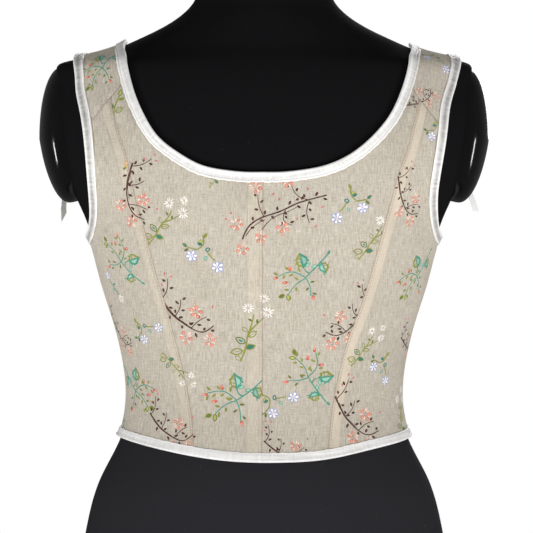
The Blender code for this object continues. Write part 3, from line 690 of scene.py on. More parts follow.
class Sprig:
    def __init__(self, seed):
        self.shapes, self.chance = [], random.Random(seed)

    def near(self, value, spread):
        return value + self.chance.uniform(-spread, spread)

    def inked(self, ring, x, y, turn, ink):
        c, s = math.cos(math.radians(turn)), math.sin(math.radians(turn))
        shade = self.chance.uniform(0.86, 1.12)
        colour = (0, 0, 0, 0) if ink is None else (*(min(1.0, part * shade) for part in inks[ink]), 1)
        self.shapes.append(([(x + c * px - s * py, y + s * px + c * py) for px, py in ring], colour))

    def oval(self, x, y, long, wide, turn, ink, corners=8):
        ring = []
        for i in range(corners):
            a, r = 2 * math.pi * i / corners, self.near(1, 0.09)
            ring.append((long / 2 * r * math.cos(a), wide / 2 * r * math.sin(a)))
        self.inked(ring, x, y, turn, ink)

    def ray(self, x, y, a, far, long, wide, ink, corners, turn=0.0):
        # an oval that points away from a flower's middle
        x, y = x + far * math.cos(a), y + far * math.sin(a)
        self.oval(x, y, long, wide, math.degrees(a) + turn, ink, corners)

    def leaf(self, x, y, long, wide, turn, ink, inner=(), vein=None):
        # a leaf from its stalk end; inner inks lie on it, each smaller than the last
        turn, long = self.near(turn, 8), self.near(long, 0.3)
        side = [(0.16, 0.3), (0.42, 0.5), (0.7, 0.4), (0.88, 0.18)]
        ring = [(0, 0)] + [(long * u, -wide * self.near(w, 0.04)) for u, w in side]
        ring += [(long, 0)] + [(long * u, wide * self.near(w, 0.04)) for u, w in side[::-1]]
        self.inked(ring, x, y, turn, ink)
        for i, colour in enumerate(inner):
            share = 0.74 - 0.3 * i
            small = [(long * 0.47 + (px - long * 0.47) * share, py * (share - 0.1)) for px, py in ring]
            self.inked(small, x, y, turn, colour)
        if vein:
            line = [(long * 0.05, -0.28), (long * 0.8, -0.2), (long * 0.8, 0.2), (long * 0.05, 0.28)]
            self.inked(line, x, y, turn, vein)

    def jagged(self, x, y, long, turn, first, second):
        # a broad leaf with a toothed outline in two inks, open in the middle
        teeth = [(0, 0), (0.16, 0.2), (0.1, 0.36), (0.34, 0.34), (0.32, 0.5)]
        teeth += [(0.56, 0.38), (0.6, 0.46), (0.78, 0.22), (1, 0)]
        for side, ink in ((1, first), (-1, second)):
            ring = [(long * u, side * long * w * self.near(0.86, 0.1)) for u, w in teeth]
            self.inked(ring, x, y, turn, ink)
            hollow = [(long * (0.2 + 0.56 * u), side * long * (0.05 + w * 0.46)) for u, w in teeth]
            self.inked(hollow, x, y, turn, None if side > 0 else "mint")
        for u in (0.3, 0.55):
            line = [(u, 0), (u + 0.12, 0.26), (u + 0.16, 0.25), (u + 0.07, 0)]
            self.inked([(long * px, long * py) for px, py in line], x, y, turn, first)
        self.inked([(0, -0.3), (long * 0.9, -0.2), (long * 0.9, 0.2), (0, 0.3)], x, y, turn, second)

    def stem(self, points, wide, narrow, ink, core=None):
        points = np.array([(self.near(x, 0.5), self.near(y, 0.5)) for x, y in points])
        stops = runAlong(points)
        count = max(4, round(stops[-1] / 2.2))
        path = spline(stops, points)(np.linspace(0, stops[-1], count + 1))
        way = np.gradient(path, axis=0)
        way /= np.linalg.norm(way, axis=1, keepdims=True)
        out = np.stack([way[:, 1], -way[:, 0]], -1)
        for ink, share in ((ink, 1.0), (core, 0.3)):
            if ink:
                uneven = np.array([self.near(1, 0.16) for _ in path])
                half = uneven * np.linspace(wide / 2, narrow / 2, count + 1)
                use = slice(0, None) if share == 1 else slice(0, max(3, count * 2 // 3))
                half = out * (half * share)[:, None]
                ring = np.concatenate([(path + half)[use], (path - half)[use][::-1]])
                self.inked(ring.tolist(), 0, 0, 0, ink)
        return path, out

    def leafy(self, points, wide, narrow, ink, spacing=4.6, size=3.0, leaf=None, start=0.1):
        # a stem with small leaves on both sides
        path, out = self.stem(points, wide, narrow, ink)
        run = runAlong(path)
        far, side = run[-1] * start + self.chance.uniform(0, spacing), self.chance.choice((-1, 1))
        while far < run[-1] + 0.5:
            here = np.array([np.interp(far, run, path[:, i]) for i in (0, 1)])
            sideways = np.array([np.interp(far, run, out[:, i]) for i in (0, 1)]) * side
            here = here + sideways * self.near(1.4, 0.5)
            turn = math.degrees(math.atan2(sideways[1], sideways[0])) - side * self.near(-38, 18)
            self.leaf(*here, self.near(size, 0.5), size * (0.46 if leaf else 0.56), turn, leaf or ink)
            far, side = far + self.near(spacing, 1.2), -side
        return path

    def blossom(self, x, y, size=1.0):
        # five loose petals with paler hearts, and specks about the middle
        start, missing, size = self.chance.uniform(0, 72), self.chance.choice((0, 1, 2, 9)), size * 1.2
        for i in range(5):
            a, far = math.radians(self.near(start + 72 * i, 8)), self.near(3.2, 0.4) * size
            px, py, turn = x + far * math.cos(a), y + far * math.sin(a), math.degrees(a)
            if i == missing:
                self.oval(px, py, 3.2 * size, 1.6 * size, turn, "blush", 6)
                continue
            long, wide = self.near(3.2, 0.4) * size, self.near(2.5, 0.3) * size
            self.oval(px, py, long, wide, turn + self.near(0, 25), "coral", 8)
            self.oval(px + 0.2, py - 0.3, 1.1 * size, 0.6 * size, turn + 30, "blush", 6)
            between = a + math.radians(36)
            self.ray(x, y, between, far * 0.95, self.near(2.5, 0.4), 0.9, "petal", 6, self.near(0, 20))
        for i in range(5):
            a = math.radians(self.near(start + 72 * i + 20, 14))
            self.ray(x, y, a, 1.4, 1.7, 0.6, "wine" if i % 2 else "pink", 5)
        for i in range(4):
            a = math.radians(self.chance.uniform(0, 360))
            self.ray(x, y, a, 5.6 * size, 1.5, 0.9, "coral", 5, 60)

    def daisy(self, x, y, size=1.0):
        start = self.chance.uniform(0, 40)
        for i in range(10):
            a, far = math.radians(self.near(start + 36 * i, 7)), self.near(2.9, 0.6) * size
            self.ray(x, y, a, far, far * 1.35, 1.15 * size, "white", 6)
        for i in range(4):
            a = math.radians(self.near(start + 90 * i + 15, 15))
            self.ray(x, y, a, 1.1, 1.6, 0.6, "coral" if i % 2 else "blush", 5)
        for i in range(2):
            a = math.radians(self.chance.uniform(0, 360))
            self.ray(x, y, a, 4.6 * size, 1.4, 0.8, "lime", 5)

    def starFlower(self, x, y, size=1.0):
        start = self.chance.uniform(0, 50)
        petals = []
        for i in range(6):
            a, far = math.radians(self.near(start + 60 * i, 6)), self.near(3.0, 0.3) * size
            petals.append((a, far, self.near(1, 0.1) * size))
        for ink, long, wide in (("blue", 4.2, 3.2), ("white", 3.1, 2.1)):
            for a, far, grow in petals:
                self.ray(x, y, a, far, long * grow, wide * grow, ink, 7)
        self.oval(x, y, 2.8 * size, 2.8 * size, 0, "white", 7)
        for i in range(3):
            a = math.radians(start + 120 * i + 30)
            self.ray(x, y, a, 1.5, 1.3, 0.5, "blue", 5)
        self.oval(x, y, 1.2, 1.0, start, "red", 6)

    def redBud(self, x, y, turn, size=1.0):
        a = math.radians(turn)
        self.leaf(x - 2.4 * math.cos(a), y - 2.4 * math.sin(a), 2.8, 2.4, turn, "moss")
        self.oval(x, y, 4.2 * size, 2.4 * size, turn, "red", 7)
        self.ray(x, y, a, 0.5, 1.9, 0.7, "blush", 5, 6)


def blossomBranch(s):
    s.leafy([(-20, 10), (-11, -3), (1, -13), (13, -17), (22, -12)], 1.5, 0.9, "bark", 5.4, 3.7)
    s.stem([(-16, 5), (-9, -4), (1, -11.6)], 0.7, 0.5, "bark")
    s.leafy([(-19, 8), (-14, 15), (-12.5, 25)], 0.9, 0.6, "bark", 4.4, 3.6)
    s.leafy([(-9, -5), (-4, 2), (-3, 9)], 0.8, 0.6, "bark", 4.6, 3.5)
    s.leafy([(4, -14.5), (10, -8), (17, -5)], 0.8, 0.6, "bark", 4.6, 3.5)
    for x, y in ((9, -1), (0, -21), (17, -23)):
        s.blossom(s.near(x, 1), s.near(y, 1), s.near(1, 0.08))
    for x, y, turn in ((-14, 29, 80), (-9, 27, 50), (-17, 20, 120), (22, 3, 60)):
        s.oval(x, y, 2.9, 1.5, turn, "pink", 6)


def longBranch(s):
    main = [(-33, -20), (-27, -8), (-15, -1), (-1, 4), (11, 10), (23, 14), (35, 18)]
    s.leafy(main, 1.3, 1.1, "bark", 5.6, 3.8)
    s.stem([(-30, -17), (-24, -8.5), (-14, -3)], 0.7, 0.5, "bark")
    s.stem([(-17, -11), (-8, -2), (4, 3.4), (13, 8.6)], 0.9, 0.5, "bark", "barkLight")
    s.leafy([(22, 13), (12, 17), (6, 26)], 0.9, 0.6, "bark", 5.0, 3.6)
    s.leafy([(21, 13), (19, 4), (22, -5)], 0.9, 0.6, "bark", 5.0, 3.6)
    s.leafy([(-15, 0), (-19, 8), (-20, 17)], 0.8, 0.6, "bark", 5.0, 3.6)
    s.leafy([(2, 5), (1, -3), (8, -8)], 0.8, 0.6, "bark", 5.0, 3.6)
    for x, y in ((4, 29), (0, -9), (-17, -17), (-37, -8), (-33, -27), (-22, 24)):
        s.blossom(s.near(x, 0.8), s.near(y, 0.8), s.near(1.04, 0.08))
    specks = [(20, 23, 100), (-3, 14, 70), (32, 8, 20), (27, -8, 60)]
    specks += [(-46, -3, 140), (-42, 2, 60), (12, -2, 80), (-8, 18, 40)]
    for x, y, turn in specks:
        s.oval(x, y, 3.0, 1.6, turn, "pink", 6)


def budStem(s):
    s.stem([(19, 17), (13, 8), (4, -3)], 1.15, 0.9, "teal")
    s.leafy([(4, -3), (-7, 1), (-18, -3)], 1.0, 0.7, "teal", 4.0, 4.2, "olive")
    s.leafy([(4, -3), (-3, -8), (-9, -18)], 1.0, 0.7, "teal", 4.2, 4.2, "olive")
    s.leafy([(4, -3), (8, -9), (10, -17)], 1.0, 0.7, "teal", 4.4, 4.0, "moss")
    s.stem([(7, 1), (4, 2), (2, 5)], 1.0, 0.8, "teal")
    s.stem([(13, 9), (17, 4), (19, 0)], 1.0, 0.7, "teal")
    s.jagged(2, 5, 13.5, 112, "olive", "teal")
    s.jagged(15, 11, 10.5, -62, "olive", "teal")
    s.leaf(3, 6, 5.5, 2.8, 40, "teal", ("mint",))
    s.leaf(12, 8, 5.0, 2.8, -150, "teal", ("mint",))
    s.stem([(2, 5), (0, 9), (-2, 13)], 0.9, 0.6, "teal")
    s.leaf(19, 17, 4.5, 2.2, 60, "teal")
    s.leaf(-11, -18, 6.0, 4.0, 210, "olive", ("moss",))
    s.leaf(-9, -17, 6.0, 3.6, 280, "moss", ("lime",))
    s.redBud(-9, 4, 110)
    s.redBud(-12, -8, 190)
    s.redBud(12, -19, 300)
    s.redBud(-20, -5, 200, 0.9)


def daisySprig(s):
    s.stem([(-6, -22), (-2, -9), (0, 0), (3, 9), (4, 17)], 1.5, 1.1, "olive")
    s.stem([(1, 3), (7, 9), (12, 14)], 1.3, 0.9, "olive")
    s.leaf(-4, -13, 11, 6.6, 196, "olive", (None,), "olive")
    s.leaf(-2, -7, 9.5, 5.8, 160, "moss", (None, "teal"))
    s.leaf(-3, -11, 9.0, 5.4, 8, "olive", ("deepTeal",))
    s.leaf(0, -2, 8.5, 5.2, 36, "olive", (None,), "olive")
    s.leaf(0, 2, 6.5, 3.6, 140, "olive", (None,))
    s.leaf(-6, -21, 6.0, 3.6, 150, "olive", (None,))
    s.leaf(7, 9, 4.0, 2.0, 100, "moss")
    s.leaf(3, 11, 4.0, 2.0, 150, "moss")
    s.daisy(0, 22)
    s.daisy(15, 18)
    s.daisy(12, 29, 0.85)


def flowerPair(s):
    s.stem([(1, 17), (1, 10), (-5, 6)], 1.3, 0.9, "olive")
    s.stem([(3, 6), (6, 1), (9, -3)], 1.3, 0.9, "olive")
    s.stem([(-5, 6), (-12, 8)], 1.1, 0.8, "olive")
    s.leaf(1, 15, 5, 2.6, 60, "olive")
    s.leaf(1, 13, 4.8, 2.8, 190, "olive", ("lime",))
    s.leaf(0, 10, 4.6, 2.8, 160, "deepTeal")
    s.leaf(-12, 8, 5.4, 2.8, 140, "olive", ("deepTeal",))
    s.leaf(-11, 7, 4.6, 2.4, 215, "moss")
    s.oval(4, 6, 4.6, 3.6, 30, "deepTeal", 8)
    s.oval(4, 6, 2.4, 1.6, 30, None, 6)
    s.leaf(3, 1, 4.4, 2.6, 250, "teal", ("mint",))
    s.starFlower(-9, 1)
    s.starFlower(11, -8)


def smallSpray(s):
    s.stem([(-2, -9), (-1, 0), (4, 8)], 1.2, 0.8, "olive")
    s.leaf(-1, -1, 7.5, 4.2, 150, "olive", ("deepTeal",))
    s.leaf(-1, -4, 7, 4.0, 20, "olive", (None,), "olive")
    s.leaf(3, 6, 5.5, 3.0, 70, "moss", ("lime",))
    s.leaf(2, 4, 4.5, 2.4, 0, "olive")


def looseBud(s):
    s.oval(0, 0, 6.5, 3.4, 75, "gold", 8)
    s.oval(0.2, 0.6, 3.4, 1.3, 78, "blush", 6)
    s.leaf(0, -2.6, 3.8, 2.0, 200, "moss")


def whiteSpray(s):
    s.stem([(4, -10), (0, 0), (-3, 8)], 1.1, 0.7, "deepTeal")
    s.leaf(1, -3, 5.0, 2.8, 200, "teal", ("mint",))
    s.leaf(0, 1, 4.4, 2.4, 20, "teal")
    s.starFlower(-4, 11, 0.82)
    s.daisy(5, -13, 0.9)


motifs = {
    "branch": blossomBranch,
    "long": longBranch,
    "buds": budStem,
    "daisies": daisySprig,
    "pair": flowerPair,
    "spray": smallSpray,
    "bud": looseBud,
    "white": whiteSpray,
}

# Sprigs on the back: motif, panels that hold it, x, z, turn in degrees, size, and -1 where it is mirrored
backSprigs = (
    ("buds", "strap_left", -137.5, 562, 15, 0.85, 1),
    ("spray", "centre_back_left", -122, 529, 8, 1.25, 1),
    ("bud", "side_back_left", -113, 482, 0, 0.95, 1),
    ("branch", "side_back_left centre_back_left", -103, 461, -55, 1.0, 1),
    ("daisies", "centre_back_left", -84, 432, -24, 0.92, 1),
    ("spray", "centre_back_left", -41, 469, 170, 0.6, 1),
    ("long", "centre_back_left centre_back_right", 15, 440, 0, 1.0, 1),
    ("buds", "side_back_left", -116, 404, -98, 0.98, 1),
    ("pair", "centre_back_left", -50, 406, 0, 1.05, 1),
    ("white", "side_back_left", -125, 379, 12, 0.9, 1),
    ("branch", "centre_back_left", -65, 361, 0, 1.08, 1),
    ("branch", "side_back_left", -121, 343, -12, 0.8, 1),
    ("pair", "side_back_left", -96, 341, 58, 0.9, 1),
    ("daisies", "centre_back_left centre_back_right", -13, 341, 0, 1.06, 1),
    ("buds", "side_back_left", -105, 292, 10, 1.0, -1),
    ("daisies", "side_back_left centre_back_left", -74, 312, 205, 0.7, -1),
    ("buds", "centre_back_left", -26, 289, -14, 1.12, 1),
    ("branch", "side_back_left centre_back_left", -78, 264, 8, 0.95, 1),
    ("branch", "strap_right centre_back_right", 125, 537, 60, 0.62, 1),
    ("pair", "strap_right", 143, 566.5, -20, 0.8, 1),
    ("pair", "side_back_right", 144.5, 506, 20, 0.8, 1),
    ("branch", "side_back_right centre_back_right", 119, 458, -24, 0.82, 1),
    ("pair", "centre_back_right", 71, 446, 0, 1.04, -1),
    ("daisies", "centre_back_right", 88, 419, -18, 0.85, 1),
    ("buds", "centre_back_right", 30, 392, -4, 1.04, 1),
    ("branch", "centre_back_right", 70, 357, 8, 0.98, -1),
    ("buds", "centre_back_right", 40, 307, -106, 1.04, 1),
    ("pair", "centre_back_right", 12, 281, 64, 0.98, 1),
    ("buds", "side_back_right", 125, 389.5, 6, 0.98, 1),
    ("daisies", "side_back_right", 82, 327, -20, 0.78, 1),
    ("pair", "side_back_right", 96, 308, -18, 0.9, 1),
    ("branch", "side_back_right", 121, 333, 20, 0.8, 1),
    ("branch", "side_back_right", 76, 273, -12, 1.05, 1),
    ("daisies", "side_back_right", 114, 262, 8, 0.85, 1),
    ("branch", "centre_back_right", 18, 246, 12, 0.85, 1),
    ("white", "side_back_left", -118, 258, 30, 0.9, 1),
)
frontKinds = ("branch", "pair", "buds", "daisies")


def frontSprigs():
    # the same cloth's repeat over the front, in staggered rows
    chance, rows = random.Random(41), []
    for row, z in enumerate(range(244, 470, 43)):
        for step in range(-3, 4):
            x = step * 50 + (25 if row % 2 else 0) - 6
            kind = frontKinds[(2 * row + 3 * step) % 4]
            turn, size = chance.uniform(-70, 70), chance.uniform(0.86, 1.08)
            if abs(x) < 139:
                side = "left" if x < 0 else "right"
                place = x + chance.uniform(-4, 4), z + chance.uniform(-5, 5)
                flip = chance.choice((-1, 1))
                rows.append((kind, f"centre_front_{side} side_front_{side}", *place, turn, size, flip))
    rows.append(("pair", "strap_left", -136, 541, 20, 0.85, 1))
    rows.append(("daisies", "strap_right", 138, 538, -30, 0.75, 1))
    return rows


def laidOn(place, points):
    # flat points carried over the skin from one place, in short steps
    points = np.asarray(points, float)
    along, _, normal = surfaceFrame(*place)
    right = along / np.linalg.norm(along)
    steps = 4
    shift = (points[:, :1] * right + points[:, 1:] * np.cross(normal, right)) / steps
    reach = np.linalg.norm(shift, axis=1, keepdims=True) + 1e-9
    places = np.repeat(np.asarray(place, float)[None], len(points), 0)
    for _ in range(steps):
        normal = surfaceFrame(*places.T)[2]
        shift = shift - normal * (shift * normal).sum(1, keepdims=True)
        shift *= reach / (np.linalg.norm(shift, axis=1, keepdims=True) + 1e-9)
        places = moved(places, shift)
    return places


def printedShapes():
    # every sprig's shapes as places on the skin, for each panel
    found = {}
    for number, (rows, on) in enumerate(((backSprigs, "back"), (frontSprigs(), "front"))):
        centres = placesAt([row[2] for row in rows], [row[3] for row in rows], [on] * len(rows))
        for i, (kind, panels, _, _, turn, size, flip) in enumerate(rows):
            sprig = Sprig(100 * number + i)
            motifs[kind](sprig)
            c, s = math.cos(math.radians(turn)) * size, math.sin(math.radians(turn)) * size
            spin = np.array([[c * flip, -s], [s * flip, c]])
            points = np.concatenate([np.array(shape[0], float) for shape in sprig.shapes]) @ spin.T
            places, start = laidOn(centres[i], points), 0
            for ring, colour in sprig.shapes:
                part = places[start : start + len(ring)]
                start += len(ring)
                for panel in panels.split():
                    found.setdefault(panel, []).append((part, colour))
    return found


printed = printedShapes()
print("print laid out")

# Soft troughs and ridges: face, from x and z, to x and z, width, depth (a ridge is below 0)
creases = (
    ("back", -137, 526, -139, 492, 3.4, 0.85),
    ("back", -127, 520, -125, 484, 3.2, 0.5),
    ("back", -143, 500, -137, 470, 3.2, -0.4),
    ("back", -112, 540, -104, 512, 3.0, 0.6),
    ("back", 134, 526, 129, 486, 3.6, 0.7),
    ("back", 143, 505, 139, 470, 3.0, 0.5),
    ("back", 110, 512, 104, 470, 4.0, -0.4),
    ("back", 121, 541, 112, 520, 3.0, 0.5),
    ("back", -99, 500, -93, 470, 4.5, 0.35),
    ("back", -112, 300, -92, 286, 3.5, 0.5),
    ("back", -114, 282, -88, 274, 3.2, 0.45),
    ("back", -111, 318, -95, 306, 3.0, 0.35),
    ("back", 112, 303, 94, 290, 3.4, 0.45),
    ("back", 113, 285, 90, 279, 3.4, 0.5),
    ("back", 109, 322, 97, 312, 3.0, 0.3),
    ("back", -54, 290, -22, 284, 4.0, 0.35),
    ("back", 18, 279, 48, 286, 4.0, 0.35),
    ("back", -40, 262, -10, 266, 4.5, 0.3),
    ("back", -60, 440, -52, 420, 4.5, 0.3),
    ("back", 52, 430, 60, 405, 5.0, 0.3),
    ("front", -112, 300, -90, 288, 3.5, 0.5),
    ("front", -108, 282, -82, 274, 3.2, 0.45),
    ("front", 111, 302, 92, 291, 3.4, 0.45),
    ("front", 110, 284, 84, 276, 3.4, 0.5),
    ("front", -66, 352, -46, 338, 4.0, 0.45),
    ("front", 64, 350, 44, 340, 4.0, 0.4),
    ("front", -40, 290, -14, 296, 4.0, 0.35),
    ("front", 16, 292, 44, 285, 4.0, 0.35),
    ("front", -118, 440, -104, 420, 4.0, 0.4),
    ("front", 118, 441, 105, 424, 4.0, 0.35),
)


def creasePaths():
    ends = [placesAt([row[1], row[3]], [row[2], row[4]], [row[0]] * 2) for row in creases]
    return [skin(*(a + (b - a) * np.linspace(0, 1, 5)[:, None]).T) for a, b in ends]


creaseLines = creasePaths()


def nearest(points, line):
    # how far each point is from a line of points
    best = np.full(len(points), 1e9)
    for a, span in zip(line[:-1], np.diff(line, axis=0)):
        share = np.clip(((points - a) @ span) / (span @ span), 0, 1)
        best = np.minimum(best, ((points - a - share[:, None] * span) ** 2).sum(1))
    return np.sqrt(best)


# Cloth walls: lifts off the skin, the dip at a seam, and the boning channels beside seams
cloth = {
    "outside": 2.95,
    "inside": 2.0,
    "underBinding": 1.9,
    "gridStep": 4.2,
    "seamDip": 0.42,
    "seamWidth": 0.9,
    "pucker": 0.1,
    "channelLift": 0.42,
    "rows": (0.7, 1.5, 2.6),
}
# Panels: outline pieces as line, start, end, kind; kind is bound, plain, or a channel's width and stitch rows
panels = {
    "centre_back": (
        ("hem", "centre", "princess", "bound"),
        ("princess back", "hem", "strap", "plain"),
        ("strap", "princess", "neck", "plain"),
        ("neck", "strap", "centre", "bound"),
        ("centre back", "neck", "hem", "centre"),
    ),
    "side_back": (
        ("hem", "princess", "side", "bound"),
        ("side", "hem", "arm", "plain"),
        ("arm", "side", "strap", "bound"),
        ("strap", "arm", "princess", "plain"),
        ("princess back", "strap", "hem", "princess"),
    ),
    "strap": (
        ("strap", "neck", "arm", "plain"),
        ("arm", "strap", "end", "bound"),
        None,
        ("neck", "end", "strap", "bound"),
    ),
    "side_front": (
        ("hem", "side", "princess front", "bound"),
        ("princess front", "hem", "top", "princess"),
        ("arm", "princess", "side", "bound"),
        ("side", "arm", "hem", "plain"),
    ),
    "centre_front": (
        ("hem", "princess front", "centre front", "bound"),
        ("centre front", "hem", "top", "front"),
        ("arm", "centre", "princess", "bound"),
        ("princess front", "top", "hem", "plain"),
    ),
}
channels = {"princess": 9.0, "centre": 12.6, "front": 10.0, "plain": 0.0}
spread = 130.0  # millimetres for each radian where triangles are chosen


def insetOutline(pieces):
    # one closed outline, each piece of line moved inwards by its own inset
    places, after = [], []
    for piece, inset in pieces:
        places += [tuple(p) for p in piece[:-1]]
        after += [inset] * (len(piece) - 1)
    places, after = np.array(places), np.array(after)
    before, solid, normal = np.roll(after, 1), skin(*places.T), surfaceFrame(*places.T)[2]
    inAfter = np.cross(normal, np.roll(solid, -1, 0) - solid)
    inBefore = np.cross(normal, solid - np.roll(solid, 1, 0))
    inAfter /= np.linalg.norm(inAfter, axis=1, keepdims=True)
    inBefore /= np.linalg.norm(inBefore, axis=1, keepdims=True)
    agree = (inAfter * inBefore).sum(1)
    straight = agree > 0.96
    bend = np.where(straight, 0.0, agree)
    middle = (inAfter + inBefore) * (after + before)[:, None] / 4
    corner = inAfter * ((after - before * bend) / (1 - bend**2))[:, None]
    corner = corner + inBefore * ((before - after * bend) / (1 - bend**2))[:, None]
    return moved(places, np.where(straight[:, None], middle, corner))


def inwardOf(piece):
    normal = surfaceFrame(*piece.T)[2]
    inward = np.cross(normal, np.gradient(skin(*piece.T), axis=0))
    return inward / np.linalg.norm(inward, axis=1, keepdims=True)


def inside(points, outline):
    a, b, x, y = outline, np.roll(outline, -1, 0), points[:, :1], points[:, 1:]
    crosses = (a[:, 1] > y) != (b[:, 1] > y)
    at = a[:, 0] + (y - a[:, 1]) / np.where(crosses, b[:, 1] - a[:, 1], 1) * (b[:, 0] - a[:, 0])
    return (crosses & (at > x)).sum(1) % 2 == 1


def hexGrid(low, high, step):
    x, y = np.arange(low[0], high[0], step), np.arange(low[1], high[1], step * 0.87)
    grid = np.stack(np.meshgrid(x, y, indexing="ij"), -1)
    grid[:, 1::2, 0] += step / 2
    return grid.reshape(-1, 2)


arcAngles, arcLevels = np.radians(np.arange(-180, 181, 2.0)), np.arange(0, levels[-1], 5.0)
arcSkin = skin(arcAngles[None], arcLevels[:, None])
arcSteps = np.linalg.norm(np.diff(arcSkin, axis=1), axis=-1)
arcRun = np.pad(np.cumsum(arcSteps, axis=1), ((0, 0), (1, 0)))
arcRun -= arcRun[:, len(arcAngles) // 2][:, None]


def grainOf(places, isStrap):
    # the cloth's own threads: along the warp upwards, along the weft round the body
    if isStrap:
        x, y, z = skin(*places.T).T
        return np.stack([x, 75 * np.arctan2(y + 4, z - 506)], -1)
    column = np.clip((places[:, 0] + math.pi) / math.radians(2), 0, len(arcAngles) - 1.001)
    row = np.clip(places[:, 1] / 5, 0, len(arcLevels) - 1.001)
    i, j = row.astype(int), column.astype(int)
    u, v = row - i, column - j
    run = arcRun[i, j] * (1 - u) * (1 - v) + arcRun[i + 1, j] * u * (1 - v)
    run = run + arcRun[i, j + 1] * (1 - u) * v + arcRun[i + 1, j + 1] * u * v
    return np.stack([run, places[:, 1]], -1)


def boundary(faces):
    # the rim of a patch of triangles, as a loop of points
    after = {}
    edges = set()
    for face in faces:
        for a, b in zip(face, face[1:] + face[:1]):
            edges.add((a, b))
    for a, b in edges:
        if (b, a) not in edges:
            after[a] = b
    start = next(iter(after))
    loop, here = [start], after[start]
    while here != start:
        loop.append(here)
        here = after[here]
    return loop


def triangles(points, rings, edgeSnap=0.02):
    found = delaunay_2d_cdt([Vector(p) for p in points], [], rings, 1, edgeSnap)
    corners = np.array([tuple(p) for p in found[0]])
    return corners, [tuple(face) for face, source in zip(found[2], found[5]) if 0 in source]


def inkOn(middles, rings, colours):
    # the ink of the last shape that each face's middle lies in
    found = np.zeros((len(middles), 4), np.float32)
    for ring, colour in zip(rings, colours):
        near = np.flatnonzero(((middles > ring.min(0)) & (middles < ring.max(0))).all(1))
        found[near[inside(middles[near], ring)]] = colour
    return found


def anticlockwise(ring):
    x, y = ring.T
    return ring if (x * np.roll(y, -1) - y * np.roll(x, -1)).sum() > 0 else ring[::-1]


